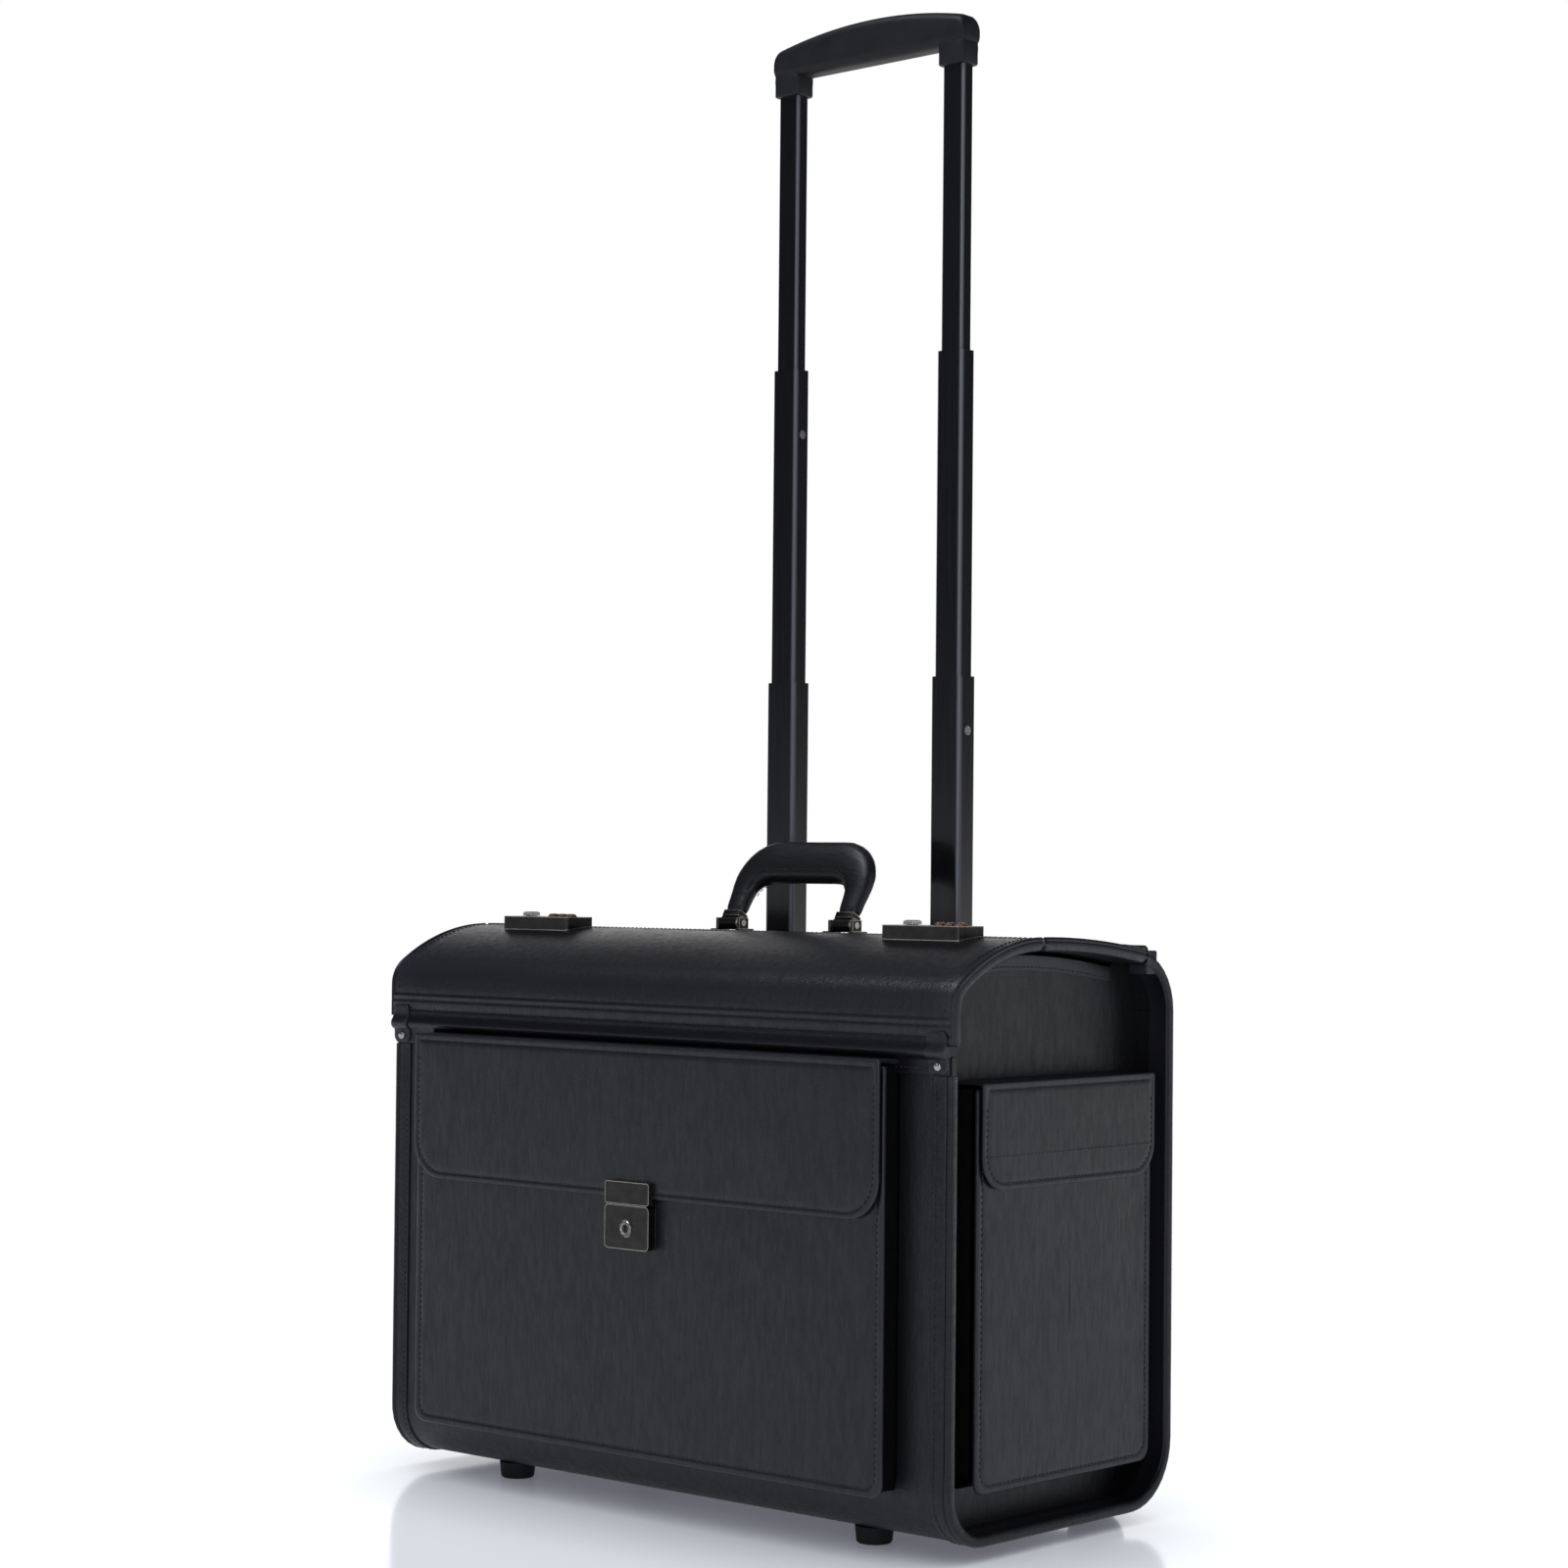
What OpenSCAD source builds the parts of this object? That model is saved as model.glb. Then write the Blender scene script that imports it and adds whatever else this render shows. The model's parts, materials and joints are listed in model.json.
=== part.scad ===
// Pilot rolling flight case.
// X runs across the width, the front faces -Y, +Z is up, and the floor is z = 0.
// All Y values below are measured from the middle of the box; seat() then moves
// every sub-part so that the whole case is centred on the origin.

/* [Box] */
// Width of the box over its end rims
case_w = 480; // [440:1:520]
// Depth of the box, front board to back board
case_d = 222; // [215:1:235]
// Height of the lid's flat top above the floor
case_top = 366; // [350:1:380]
// Height of the box's underside above the floor
ground_gap = 10.5; // [9:0.5:14]
// Thickness of the covered boards
board_t = 4.5; // [4:0.5:5]
// Radius of the bend from the front into the base
front_bend_r = 32; // [24:1:36]
// Radius of the bend from the base into the back
back_bend_r = 40; // [32:1:44]
// How far the end panels sit inside the rims
end_recess = 26; // [22:1:30]
// Width of the binding band along the rims
rim_w = 14; // [10:1:18]
// How far the binding stands proud of the boards
rim_proud = 1.3; // [0.8:0.1:2]

/* [Lids] */
// Thickness of the padded lids
lid_t = 8; // [6:0.5:9]
// Height of the front lid's hinge line
front_hinge_z = 300; // [290:1:310]
// Radius of the bend at the front lid's corner
lid_bend_r = 19; // [14:1:24]
// Slope of the front lid's shoulder where it leaves the bend
lid_slope = 35; // [25:1:45]
// Distance that the front lid stands in front of the box
lid_proud = 3; // [2:0.5:4]
// How far the lids reach past the end rims
lid_overhang = 4; // [2:0.5:6]
// Place of the seam between the lids, from the middle of the box
seam_y = -28; // [-40:1:-10]
// Place of the rear lid's hinge line
rear_hinge_y = 82; // [80:1:84]
// How far the rear lid's top falls from the seam to its hinge
rear_lid_fall = 9; // [6:0.5:10]

/* [Locks] */
// Distance of each lock from the middle of the case
lock_x = 168; // [140:1:185]
// Length of a lock case
lock_w = 62; // [56:1:70]
// Depth of a lock case
lock_d = 26; // [24:1:30]
// Height of a lock case
lock_h = 6.5; // [6:0.5:8]
// Radius of a number wheel
dial_r = 4.2; // [3.6:0.1:4.4]
// Width of a number wheel
dial_w = 6; // [5:0.5:6.5]
// Spacing of the number wheels
dial_pitch = 8; // [7.5:0.5:9]

/* [Carry handle] */
// Place of the carry handle, from the middle of the box
handle_y = 15; // [10:0.5:30]
// Half of the handle's width
handle_half_w = 59; // [50:0.5:59]
// Height of the handle above its pins
handle_h = 62.5; // [56:0.5:66]
// Height of the padded grip bar
handle_bar = 32; // [24:1:34]
// Thickness of the handle from front to back
handle_t = 18; // [14:1:19]
// Angle that the handle leans back at rest
handle_lean = 30; // [15:1:35]

/* [Pockets] */
// Half of the front pocket's width
pocket_half_w = 202; // [180:1:212]
// How far the front pocket stands out
pocket_t = 17; // [12:1:20]
// Height of the front pocket's top edge
pocket_top = 291; // [276:1:291]
// Height of the front pocket's bottom edge
pocket_bottom = 38; // [36:1:60]
// Height of the front flap's lower edge
flap_bottom = 200; // [180:1:220]
// Height of the side pockets' top edge
side_top = 277; // [265:1:285]
// Height of the side pockets' bottom edge
side_bottom = 38; // [36:1:60]
// Height of the side flaps' lower edge
side_flap_bottom = 217; // [200:1:240]

/* [Trolley] */
// Place of the trolley tubes, from the middle of the box
tube_y = 96; // [95.5:0.5:96]
// Distance between the two tubes, centre to centre
tube_spacing = 146; // [146:1:160]
// Top of the lower tubes when drawn out
lower_top = 535; // [520:1:545]
// Top of the middle tubes when drawn out
middle_top = 752; // [735:1:765]
// Underside of the grip's collars when drawn out
upper_top = 943; // [925:1:955]

/* [Running gear] */
// Radius of a wheel
wheel_r = 24; // [20:1:25]
// Width of a wheel
wheel_w = 18; // [14:1:18]
// Distance of each wheel from the middle of the case
wheel_x = 195; // [188:1:195]
// Place of the wheel axles, from the middle of the box
wheel_y = 93; // [88:1:94]
// Distance of each front foot from the middle of the case
foot_x = 155; // [120:1:180]

/* [Hidden] */
$fn = 48;

leatherette = "#1b1b1e";
stitched = "#242428";
lining_grey = "#55565c";
gunmetal = "#5c5e63";
steel = "#b9bcc0";
copper = "#9a6a4c";
tube_black = "#26262b";
plastic_black = "#17171a";
rubber_black = "#0f0f10";

half_w = case_w / 2;
front_y = -case_d / 2;
back_y = case_d / 2;
base_z = ground_gap;
end_face_x = half_w - end_recess;
end_panel_t = 4.5;
lining_t = 3;
base_board_run = 140;
divider_y = 18;
divider_t = 4;
divider_h = 280;
cut = 1;

// lids
lid_face_y = front_y - lid_proud;
hinge_bead_r = 3;
lid_gap = 0.5;
lid_clear = 3;
band_t = 2;
front_lid_bottom = front_hinge_z + hinge_bead_r + lid_gap;
lid_shoulder_r = (seam_y - lid_face_y - lid_bend_r * (1 - sin(lid_slope))) / sin(lid_slope);
lid_bend_z = case_top - lid_shoulder_r * (1 - cos(lid_slope)) - lid_bend_r * cos(lid_slope);
wrap_front_z = front_hinge_z - hinge_bead_r;
rim_top_z = wrap_front_z - 10;
seam_gap = 1;
rear_bead_r = 2.5;
rear_lid_front = seam_y + seam_gap;
rear_lid_back = rear_hinge_y - rear_bead_r - lid_gap;
rear_lid_run = rear_lid_back - rear_lid_front;
rear_crown_r = (pow(rear_lid_run, 2) + pow(rear_lid_fall, 2)) / (2 * rear_lid_fall);
rear_hinge_z = case_top - rear_lid_fall - 0.5;
strip_top = rear_hinge_z - 1.5;
strip_corner_r = 36;
strip_front = rear_hinge_y + 1.6;
wrap_back_z = strip_top - strip_corner_r;
function rear_lid_z(y) = case_top - rear_crown_r
    + sqrt(pow(rear_crown_r, 2) - pow(y - rear_lid_front, 2));

// riveted tabs at the ends of the hinge strips
tab_w = 15;
tab_t = 2.2;
tab_half_h = 4.5;
tab_x = half_w - 8;
rear_tab_d = 11;
rivet_r = 3;
rivet_h = 1.4;
front_rivet_z = front_hinge_z - 8;

// pockets
pocket_wall = 2;
pocket_face_y = front_y - pocket_t;
mouth_h = 20;
flap_t = 2.8;
flap_gap = 0.7;
flap_corner_r = 24;
side_corner_r = 20;
ledge_t = 3;
flap_face_y = pocket_face_y - flap_gap - flap_t;
flap_hinge_y = front_y - 8;
flap_hinge_z = pocket_top + 2.5;
side_face_x = half_w - 3.5;
side_flap_face_x = side_face_x + flap_gap + flap_t;
side_hinge_x = end_face_x + 5;
side_hinge_z = side_top + 2.5;
side_front = front_y + 30;
side_back = front_y + 206;

// pocket lock
plate_half_w = 19;
plate_h = 14;
plate_t = 3;
pocket_lock_h = 27.4;
plate_bottom = flap_bottom - 4;
button_r = 5;
button_proud = 1.5;
button_z = 181;

// trolley tubes, each [width, depth, wall, corner radius]
housing_size = [28.5, 20.5, 1.1, 3];
lower_size = [25, 17.5, 1.2, 3];
middle_size = [21.5, 14.5, 1.2, 2.6];
upper_size = [18, 11, 1.2, 2.2];
bracket_front = rear_hinge_y + 2.5;
bracket_reach = 20;
bracket_z = base_z + back_bend_r + 0.5;
bracket_t = 5;
housing_bottom = bracket_z + bracket_t;
housing_top = wrap_back_z + 1;
lower_bottom = lower_top - 245;
middle_bottom = middle_top - 272;
upper_bottom = upper_top - 251;
lower_button_z = middle_bottom + 19;
middle_button_z = upper_bottom + 15;
lock_pin_r = 3;
lock_pin_fit = 0.08;
lock_pin_proud = 0.2;
plug_h = 5;
bezel_size = [31, 22.4];
bezel_proud = 2.5;
cover_y = rear_hinge_y - 1;
cover_top = rear_hinge_z - 12;
cover_bottom = base_z + board_t + 4;

// grip
grip_collar = [23, 18];
grip_collar_h = 11.5;
grip_bore_h = 14;
grip_depth = 20;
grip_half_w = tube_spacing / 2 + grip_collar[0] / 2;
grip_end_top = upper_top + 32;
grip_mid_top = upper_top + 42;

// front feet and their screws
foot_y = front_y + 35;
foot_r = 11;
screw_r = 2;
screw_head_r = 4;
screw_head_h = 2;
screw_sink = 4;

// wheels
wheel_clear = 4;
housing_wall = 2.5;
housing_half_w = wheel_w / 2 + 5;
axle_r = 3;
rim_r = 16.3;
boss_r = 8;
tread_r = 4;
running_fit = 0.05;

// carry handle and its brackets
handle_leg_w = 19;
handle_leg_x = handle_half_w - handle_leg_w / 2;
handle_outer_r = 31;
handle_inner_r = 14;
handle_foot_z = 8;
handle_pin_r = 1.8;
handle_pin_fit = 0.08;
handle_pin_z = rear_lid_z(handle_y) + 5.5;
handle_eye_r = 4.6;
cheek_t = 2;
cheek_h = 8.5;
bracket_inner = handle_leg_w / 2 - 1;
bracket_half_d = 6.5;

// locks on the front lid
lock_y = seam_y - lock_d / 2;
lock_plate_t = 2;
lock_sink = 4;
dial_first_x = 6;
dial_z = case_top + dial_r + 0.4;
spindle_r = 1.2;
slider_x = -16;
slider_travel = 5;
slider_flange = [11, 10, 2];
slider_stem = [6, 4.4];
slider_cap = [9, 2.2];
slide_gap = 0.4;

// hasps on the rear lid
hasp_w = 24;
hasp_t = 2.8;
hasp_pin_y = seam_y + 13;
hasp_pin_z = case_top + 2.6;
hasp_pin_r = 1.2;
hasp_knuckle_r = 2.4;
hasp_foot_w = 7.2;

// the whole case is centred between its front-most and rear-most points
front_reach = -(flap_face_y - plate_t - button_proud);
back_reach = wheel_y + wheel_r;
seat_y = (front_reach - back_reach) / 2;

module seat() translate([0, seat_y, 0]) children();

// ---------- outline helpers ----------

function arc(c, r, from, to, n = 12) =
    [for (i = [0 : n]) let (a = from + (to - from) * i / n) c + r * [cos(a), sin(a)]];

// an outline in Y and Z, run along X
module along_x(x0, x1) translate([x0, 0, 0]) rotate([90, 0, 90]) linear_extrude(x1 - x0) children();

// an outline in X and Z, run along Y
module along_y(y0, y1) translate([0, y1, 0]) rotate([90, 0, 0]) linear_extrude(y1 - y0) children();

module rounded_outline(w, d, r) polygon(concat(
    arc([w / 2 - r, d / 2 - r], r, 0, 90, 6),
    arc([-w / 2 + r, d / 2 - r], r, 90, 180, 6),
    arc([-w / 2 + r, -d / 2 + r], r, 180, 270, 6),
    arc([w / 2 - r, -d / 2 + r], r, 270, 360, 6)));

module both_ends() {
    children();
    mirror([1, 0, 0]) children();
}

module on_side(side) mirror([side < 0 ? 1 : 0, 0, 0]) children();

// the U that the bent board follows, moved out by o; the ends are at front_z and back_z
function wrap_points(o, front_z, back_z) = concat(
    [[front_y - o, front_z]],
    arc([front_y + front_bend_r, base_z + front_bend_r], front_bend_r + o, 180, 270),
    arc([back_y - back_bend_r, base_z + back_bend_r], back_bend_r + o, 270, 360),
    [[back_y + o, back_z]]);

module wrap_outline(inner, outer, front_z, back_z) difference() {
    polygon(wrap_points(outer, front_z, back_z));
    polygon(concat(wrap_points(inner, front_z, back_z),
        [[back_y + inner, back_z + cut], [front_y - inner, front_z + cut]]));
}

module wheel_disc(r) translate([wheel_y, wheel_r]) circle(r);

// the bend of the rear top strip, moved out by o, from the back board up to the strip's front edge
function strip_arc(o) = let (r = strip_corner_r + o)
    arc([back_y - strip_corner_r, wrap_back_z], r, 0, acos((strip_front - back_y + strip_corner_r) / r));

// the front lid's bend and shoulder, moved in by o
function lid_points(o) = let (
    shoulder = arc([seam_y, case_top - lid_shoulder_r], lid_shoulder_r - o, 90 + lid_slope, 90, 16))
    concat(
        arc([lid_face_y + lid_bend_r, lid_bend_z], lid_bend_r - o, 180, 90 + lid_slope, 8),
        [for (i = [1 : len(shoulder) - 1]) shoulder[i]]);

module front_lid_outline() {
    inner = lid_points(lid_t);
    polygon(concat(
        [[lid_face_y, front_lid_bottom]], lid_points(0),
        [for (i = [len(inner) - 1 : -1 : 0]) inner[i]],
        [[lid_face_y + lid_t, front_lid_bottom]]));
}

// ---------- fixed box ----------

module body_wrap() color(leatherette) seat() difference() {
    along_x(-half_w, half_w) wrap_outline(-board_t, 0, wrap_front_z, wrap_back_z);
    both_ends() along_x(wheel_x - housing_half_w + housing_wall, wheel_x + housing_half_w - housing_wall)
        wheel_disc(wheel_r + wheel_clear);
    both_ends() along_x(wheel_x - housing_half_w, wheel_x + housing_half_w) wheel_disc(axle_r);
    both_ends() translate([foot_x, foot_y, 0]) cylinder(r = screw_r, h = base_z + board_t + cut);
}

module end_panel() {
    under_lid = lid_points(lid_t + lid_clear);
    along_x(end_face_x - end_panel_t, end_face_x) polygon(concat(
        [[front_y + board_t, wrap_front_z]],
        arc([front_y + front_bend_r, base_z + front_bend_r], front_bend_r - board_t, 180, 270),
        arc([back_y - back_bend_r, base_z + back_bend_r], back_bend_r - board_t, 270, 360),
        strip_arc(-board_t),
        [for (y = [rear_lid_back : -rear_lid_run / 8 : rear_lid_front])
            [y, rear_lid_z(y) - lid_t - lid_clear]],
        [for (i = [len(under_lid) - 1 : -1 : 0]) under_lid[i]],
        [[lid_face_y + lid_t + lid_clear, wrap_front_z]]));
    // ledge that the side flap hangs from
    translate([end_face_x, side_front, side_hinge_z - ledge_t / 2])
        cube([side_hinge_x - 2.2 - end_face_x, side_back - side_front, ledge_t]);
}

module end_panel_left() color(leatherette) seat() on_side(-1) end_panel();
module end_panel_right() color(leatherette) seat() on_side(1) end_panel();

// channel of binding that clasps the board's end edge
module rim() difference() {
    along_x(half_w - rim_w, half_w + rim_proud)
        wrap_outline(-board_t - rim_proud, rim_proud, rim_top_z, wrap_back_z);
    along_x(half_w - rim_w - cut, half_w)
        wrap_outline(-board_t, 0, wrap_front_z, wrap_back_z + cut);
}

module rim_left() color(stitched) seat() on_side(-1) rim();
module rim_right() color(stitched) seat() on_side(1) rim();

module base_board() color(lining_grey) seat()
    translate([-end_face_x + end_panel_t, front_y + front_bend_r, base_z + board_t])
        cube([2 * (end_face_x - end_panel_t), base_board_run, lining_t]);

module file_divider() color(lining_grey) seat()
    translate([-end_face_x + end_panel_t, divider_y, base_z + board_t + lining_t])
        cube([2 * (end_face_x - end_panel_t), divider_t, divider_h]);

// panel that hides the trolley, notched over the wheel housings
module trolley_cover() color(lining_grey) seat() {
    cover_half_w = end_face_x - end_panel_t;
    notch_top = 2 * wheel_r + wheel_clear + housing_wall + 3.5;
    low_half_w = wheel_x - housing_half_w;
    along_y(cover_y, cover_y + lining_t) polygon([
        [-low_half_w, cover_bottom], [low_half_w, cover_bottom],
        [low_half_w, notch_top], [cover_half_w, notch_top],
        [cover_half_w, cover_top], [-cover_half_w, cover_top],
        [-cover_half_w, notch_top], [-low_half_w, notch_top]]);
}

module rear_strip_board() along_x(-half_w, half_w) {
    inner = strip_arc(-board_t);
    polygon(concat(strip_arc(0), [for (i = [len(inner) - 1 : -1 : 0]) inner[i]]));
}

// fixed strip between the rear lid and the back board, notched for the tubes
module rear_top_strip() color(leatherette) seat() difference() {
    rear_strip_board();
    both_ends() translate([tube_spacing / 2 - bezel_size[0] / 2, strip_front - cut, wrap_back_z - cut])
        cube([bezel_size[0], tube_y + bezel_size[1] / 2 - strip_front + cut, 2 * strip_corner_r]);
}

// bead that the rear lid turns on, along the strip's front edge
module rear_hinge_bead() color(stitched) seat() difference() {
    translate([-half_w + 1, rear_hinge_y, rear_hinge_z]) rotate([0, 90, 0])
        cylinder(r = rear_bead_r, h = case_w - 2);
    along_x(-half_w, half_w) translate([strip_front, 0]) square([10, strip_top]);
}

// stitched band with the round bead that the front lid turns on
module front_hinge_band() color(stitched) seat() {
    along_x(-half_w + 1, half_w - 1) polygon([
        [front_y, rim_top_z], [front_y - band_t, rim_top_z],
        [front_y - band_t, front_hinge_z], [front_y, front_hinge_z]]);
    translate([-half_w + 1, lid_face_y, front_hinge_z]) rotate([0, 90, 0])
        cylinder(r = hinge_bead_r, h = case_w - 2);
    along_x(-pocket_half_w, pocket_half_w) polygon([
        [front_y, flap_hinge_z - ledge_t / 2], [flap_hinge_y + 2, flap_hinge_z - ledge_t / 2],
        [flap_hinge_y + 2, flap_hinge_z + ledge_t / 2], [front_y, flap_hinge_z + ledge_t / 2]]);
}

// lower halves of the front tabs, and the rear tabs
module hinge_tabs() color(leatherette) seat() both_ends() {
    translate([tab_x - tab_w / 2, front_y - band_t - tab_t, front_rivet_z - tab_half_h])
        cube([tab_w, tab_t, 2 * tab_half_h]);
    difference() {
        translate([tab_x - tab_w / 2, strip_front + 1, wrap_back_z + strip_corner_r / 2])
            cube([tab_w, rear_tab_d, strip_corner_r / 2 + tab_t]);
        along_x(0, half_w) polygon(concat([[strip_front, wrap_back_z]], strip_arc(0)));
    }
}

module rivet() cylinder(r = rivet_r, h = rivet_h);

module hinge_rivets() color(steel) seat() both_ends() {
    translate([tab_x, front_y - band_t - tab_t, front_rivet_z]) rotate([90, 0, 0]) rivet();
    translate([tab_x, strip_front + 1 + rear_tab_d / 2, strip_top + tab_t]) rivet();
}

// ---------- pockets ----------

module front_pocket() color(leatherette) seat() difference() {
    translate([-pocket_half_w, pocket_face_y, pocket_bottom])
        cube([2 * pocket_half_w, pocket_t, pocket_top - pocket_bottom]);
    translate([-pocket_half_w + pocket_wall, pocket_face_y + pocket_wall, pocket_bottom + pocket_wall])
        cube([2 * (pocket_half_w - pocket_wall), pocket_t - 2 * pocket_wall, pocket_top]);
    // the mouth is open back to the front board
    translate([-pocket_half_w + pocket_wall, front_y - pocket_wall - cut, pocket_top - mouth_h])
        cube([2 * (pocket_half_w - pocket_wall), pocket_wall + 2 * cut, 2 * mouth_h]);
    // notch for the hinge band
    translate([-pocket_half_w - cut, front_y - band_t, rim_top_z])
        cube([2 * (pocket_half_w + cut), band_t + cut, mouth_h]);
}

module side_pocket() difference() {
    translate([end_face_x, side_front, side_bottom])
        cube([side_face_x - end_face_x, side_back - side_front, side_top - side_bottom]);
    translate([end_face_x + pocket_wall, side_front + pocket_wall, side_bottom + pocket_wall])
        cube([side_face_x - end_face_x - 2 * pocket_wall, side_back - side_front - 2 * pocket_wall,
            side_top]);
}

module side_pocket_left() color(leatherette) seat() on_side(-1) side_pocket();
module side_pocket_right() color(leatherette) seat() on_side(1) side_pocket();

module flap_outline(x0, x1, z0, z1, r) polygon(concat(
    [[x1, z1], [x0, z1]], arc([x0 + r, z0 + r], r, 180, 270), arc([x1 - r, z0 + r], r, 270, 360)));

module pocket_flap() color(leatherette) seat() {
    along_y(flap_face_y, flap_face_y + flap_t)
        flap_outline(-pocket_half_w + 1, pocket_half_w - 1, flap_bottom, flap_hinge_z + ledge_t / 2,
            flap_corner_r);
    translate([-pocket_half_w + 1, flap_face_y + flap_t, flap_hinge_z - ledge_t / 2])
        cube([2 * (pocket_half_w - 1), flap_hinge_y + 0.8 - flap_face_y - flap_t, ledge_t]);
}

module side_flap() {
    along_x(side_face_x + flap_gap, side_flap_face_x)
        flap_outline(side_front + 1, side_back - 1, side_flap_bottom, side_hinge_z + ledge_t / 2,
            side_corner_r);
    translate([side_hinge_x - 0.8, side_front + 1, side_hinge_z - ledge_t / 2])
        cube([side_face_x + flap_gap - side_hinge_x + 0.8, side_back - side_front - 2, ledge_t]);
}

module side_flap_left() color(leatherette) seat() on_side(-1) side_flap();
module side_flap_right() color(leatherette) seat() on_side(1) side_flap();

module pocket_lock_plate() color(gunmetal) seat()
    along_y(flap_face_y - plate_t, flap_face_y)
        translate([0, plate_bottom + plate_h / 2]) rounded_outline(2 * plate_half_w, plate_h, 2);

// hollow lower half of the pocket lock, bored for the push button
module pocket_lock_case() color(gunmetal) seat() {
    case_top_z = plate_bottom - 0.6;
    difference() {
        along_y(flap_face_y - plate_t, pocket_face_y)
            translate([0, case_top_z - pocket_lock_h / 2])
                rounded_outline(2 * plate_half_w, pocket_lock_h, 3);
        along_y(flap_face_y - 1, pocket_face_y + cut) translate([0, button_z]) circle(button_r + 2);
        along_y(flap_face_y - plate_t - cut, pocket_face_y) translate([0, button_z])
            circle(button_r + running_fit);
    }
}

module pocket_lock_button() color(steel) seat() {
    along_y(flap_face_y - plate_t - button_proud, flap_face_y) translate([0, button_z]) circle(button_r);
    along_y(flap_face_y, flap_face_y + 1) translate([0, button_z]) circle(button_r + 1.5);
}

// ---------- trolley ----------

module both_tubes() both_ends() translate([tube_spacing / 2, tube_y, 0]) children();

module tube(size, from, to) translate([0, 0, from]) linear_extrude(to - from) difference() {
    rounded_outline(size[0], size[1], size[3]);
    rounded_outline(size[0] - 2 * size[2], size[1] - 2 * size[2], size[3] - size[2]);
}

module plug(size, from, h) translate([0, 0, from]) linear_extrude(h)
    rounded_outline(size[0], size[1], size[3]);

module trolley_housings() color(tube_black) seat() both_tubes()
    tube(housing_size, housing_bottom, housing_top);

// cross plate on the back board that both housings stand on
module trolley_bracket() color(gunmetal) seat()
    translate([-tube_spacing / 2 - bracket_reach, bracket_front, bracket_z])
        cube([tube_spacing + 2 * bracket_reach, back_y - board_t - bracket_front, bracket_t]);

// collars that follow the strip's bend, a little proud of it
module tube_bezels() color(plastic_black) seat() difference() {
    front = rear_hinge_y + rear_bead_r + 0.3;
    both_ends() intersection() {
        translate([tube_spacing / 2 - bezel_size[0] / 2, front, housing_top])
            cube([bezel_size[0], tube_y + bezel_size[1] / 2 - front, 2 * strip_corner_r]);
        along_x(0, half_w) polygon(concat([[strip_front, housing_top]], strip_arc(bezel_proud)));
    }
    both_tubes() translate([0, 0, housing_top - cut]) linear_extrude(2 * strip_corner_r)
        rounded_outline(lower_size[0] + 0.7, lower_size[1] + 0.7, lower_size[3]);
}

module lower_tubes() color(tube_black) seat() difference() {
    both_tubes() tube(lower_size, lower_bottom, lower_top);
    lock_pin_bore(1, lower_size, lower_button_z);
}

module middle_tubes() color(tube_black) seat() difference() {
    both_tubes() tube(middle_size, middle_bottom, middle_top);
    lock_pin_bore(-1, middle_size, middle_button_z);
    lock_pin_bore(1, middle_size, lower_button_z, 0.4);
}

module upper_tubes() color(tube_black) seat() difference() {
    both_tubes() tube(upper_size, upper_bottom, upper_top + grip_bore_h);
    lock_pin_bore(-1, upper_size, middle_button_z, 0.4);
}

module middle_plugs() color(plastic_black) seat()
    both_tubes() plug(middle_size, middle_bottom - plug_h, plug_h);

module upper_plugs() color(plastic_black) seat()
    both_tubes() plug(upper_size, upper_bottom - plug_h, plug_h);

// a lock button sits in the +X wall of the tube on one side
module lock_pin_at(side, size, z) translate([side * tube_spacing / 2 + size[0] / 2 - size[2], tube_y, z])
    rotate([0, 90, 0]) children();

module lock_pin_bore(side, size, z, fit = lock_pin_fit) lock_pin_at(side, size, z)
    translate([0, 0, -size[2] / 2]) cylinder(r = lock_pin_r + fit, h = 2 * size[2]);

module lock_pin(side, size, z) lock_pin_at(side, size, z)
    cylinder(r = lock_pin_r, h = size[2] + lock_pin_proud);

module lower_lock_button() color(steel) seat() lock_pin(1, lower_size, lower_button_z);
module middle_lock_button() color(steel) seat() lock_pin(-1, middle_size, middle_button_z);

// arched bar over two collars, bored for the upper tubes
module trolley_grip() color(plastic_black) seat() difference() {
    rise = grip_mid_top - grip_end_top;
    top_r = (pow(grip_half_w, 2) + pow(rise, 2)) / (2 * rise);
    top_half_angle = asin((grip_half_w - 6) / top_r);
    inner = tube_spacing / 2 - grip_collar[0] / 2;
    along_y(tube_y - grip_depth / 2, tube_y + grip_depth / 2) polygon(concat(
        [[inner, upper_top], [grip_half_w, upper_top], [grip_half_w, grip_end_top - 4]],
        arc([0, grip_mid_top - top_r], top_r, 90 - top_half_angle, 90 + top_half_angle, 16),
        [[-grip_half_w, grip_end_top - 4], [-grip_half_w, upper_top], [-inner, upper_top],
         [-inner, upper_top + grip_collar_h - 1], [-inner + 4, upper_top + grip_collar_h + 1],
         [inner - 4, upper_top + grip_collar_h + 1], [inner, upper_top + grip_collar_h - 1]]));
    both_tubes() translate([0, 0, upper_top - cut]) linear_extrude(grip_bore_h + cut)
        rounded_outline(upper_size[0], upper_size[1], upper_size[3]);
}

// ---------- running gear ----------

module front_feet() color(rubber_black) seat() both_ends() translate([foot_x, foot_y, 0])
    rotate_extrude() polygon([
        [screw_head_r, 0], [foot_r - 1, 0], [foot_r, 1], [foot_r + 1, base_z], [screw_r, base_z],
        [screw_r, screw_sink + screw_head_h], [screw_head_r, screw_sink + screw_head_h]]);

module foot_screws() color(steel) seat() both_ends() translate([foot_x, foot_y, screw_sink]) {
    cylinder(r = screw_head_r, h = screw_head_h);
    cylinder(r = screw_r, h = base_z + board_t - screw_sink);
}

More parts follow.
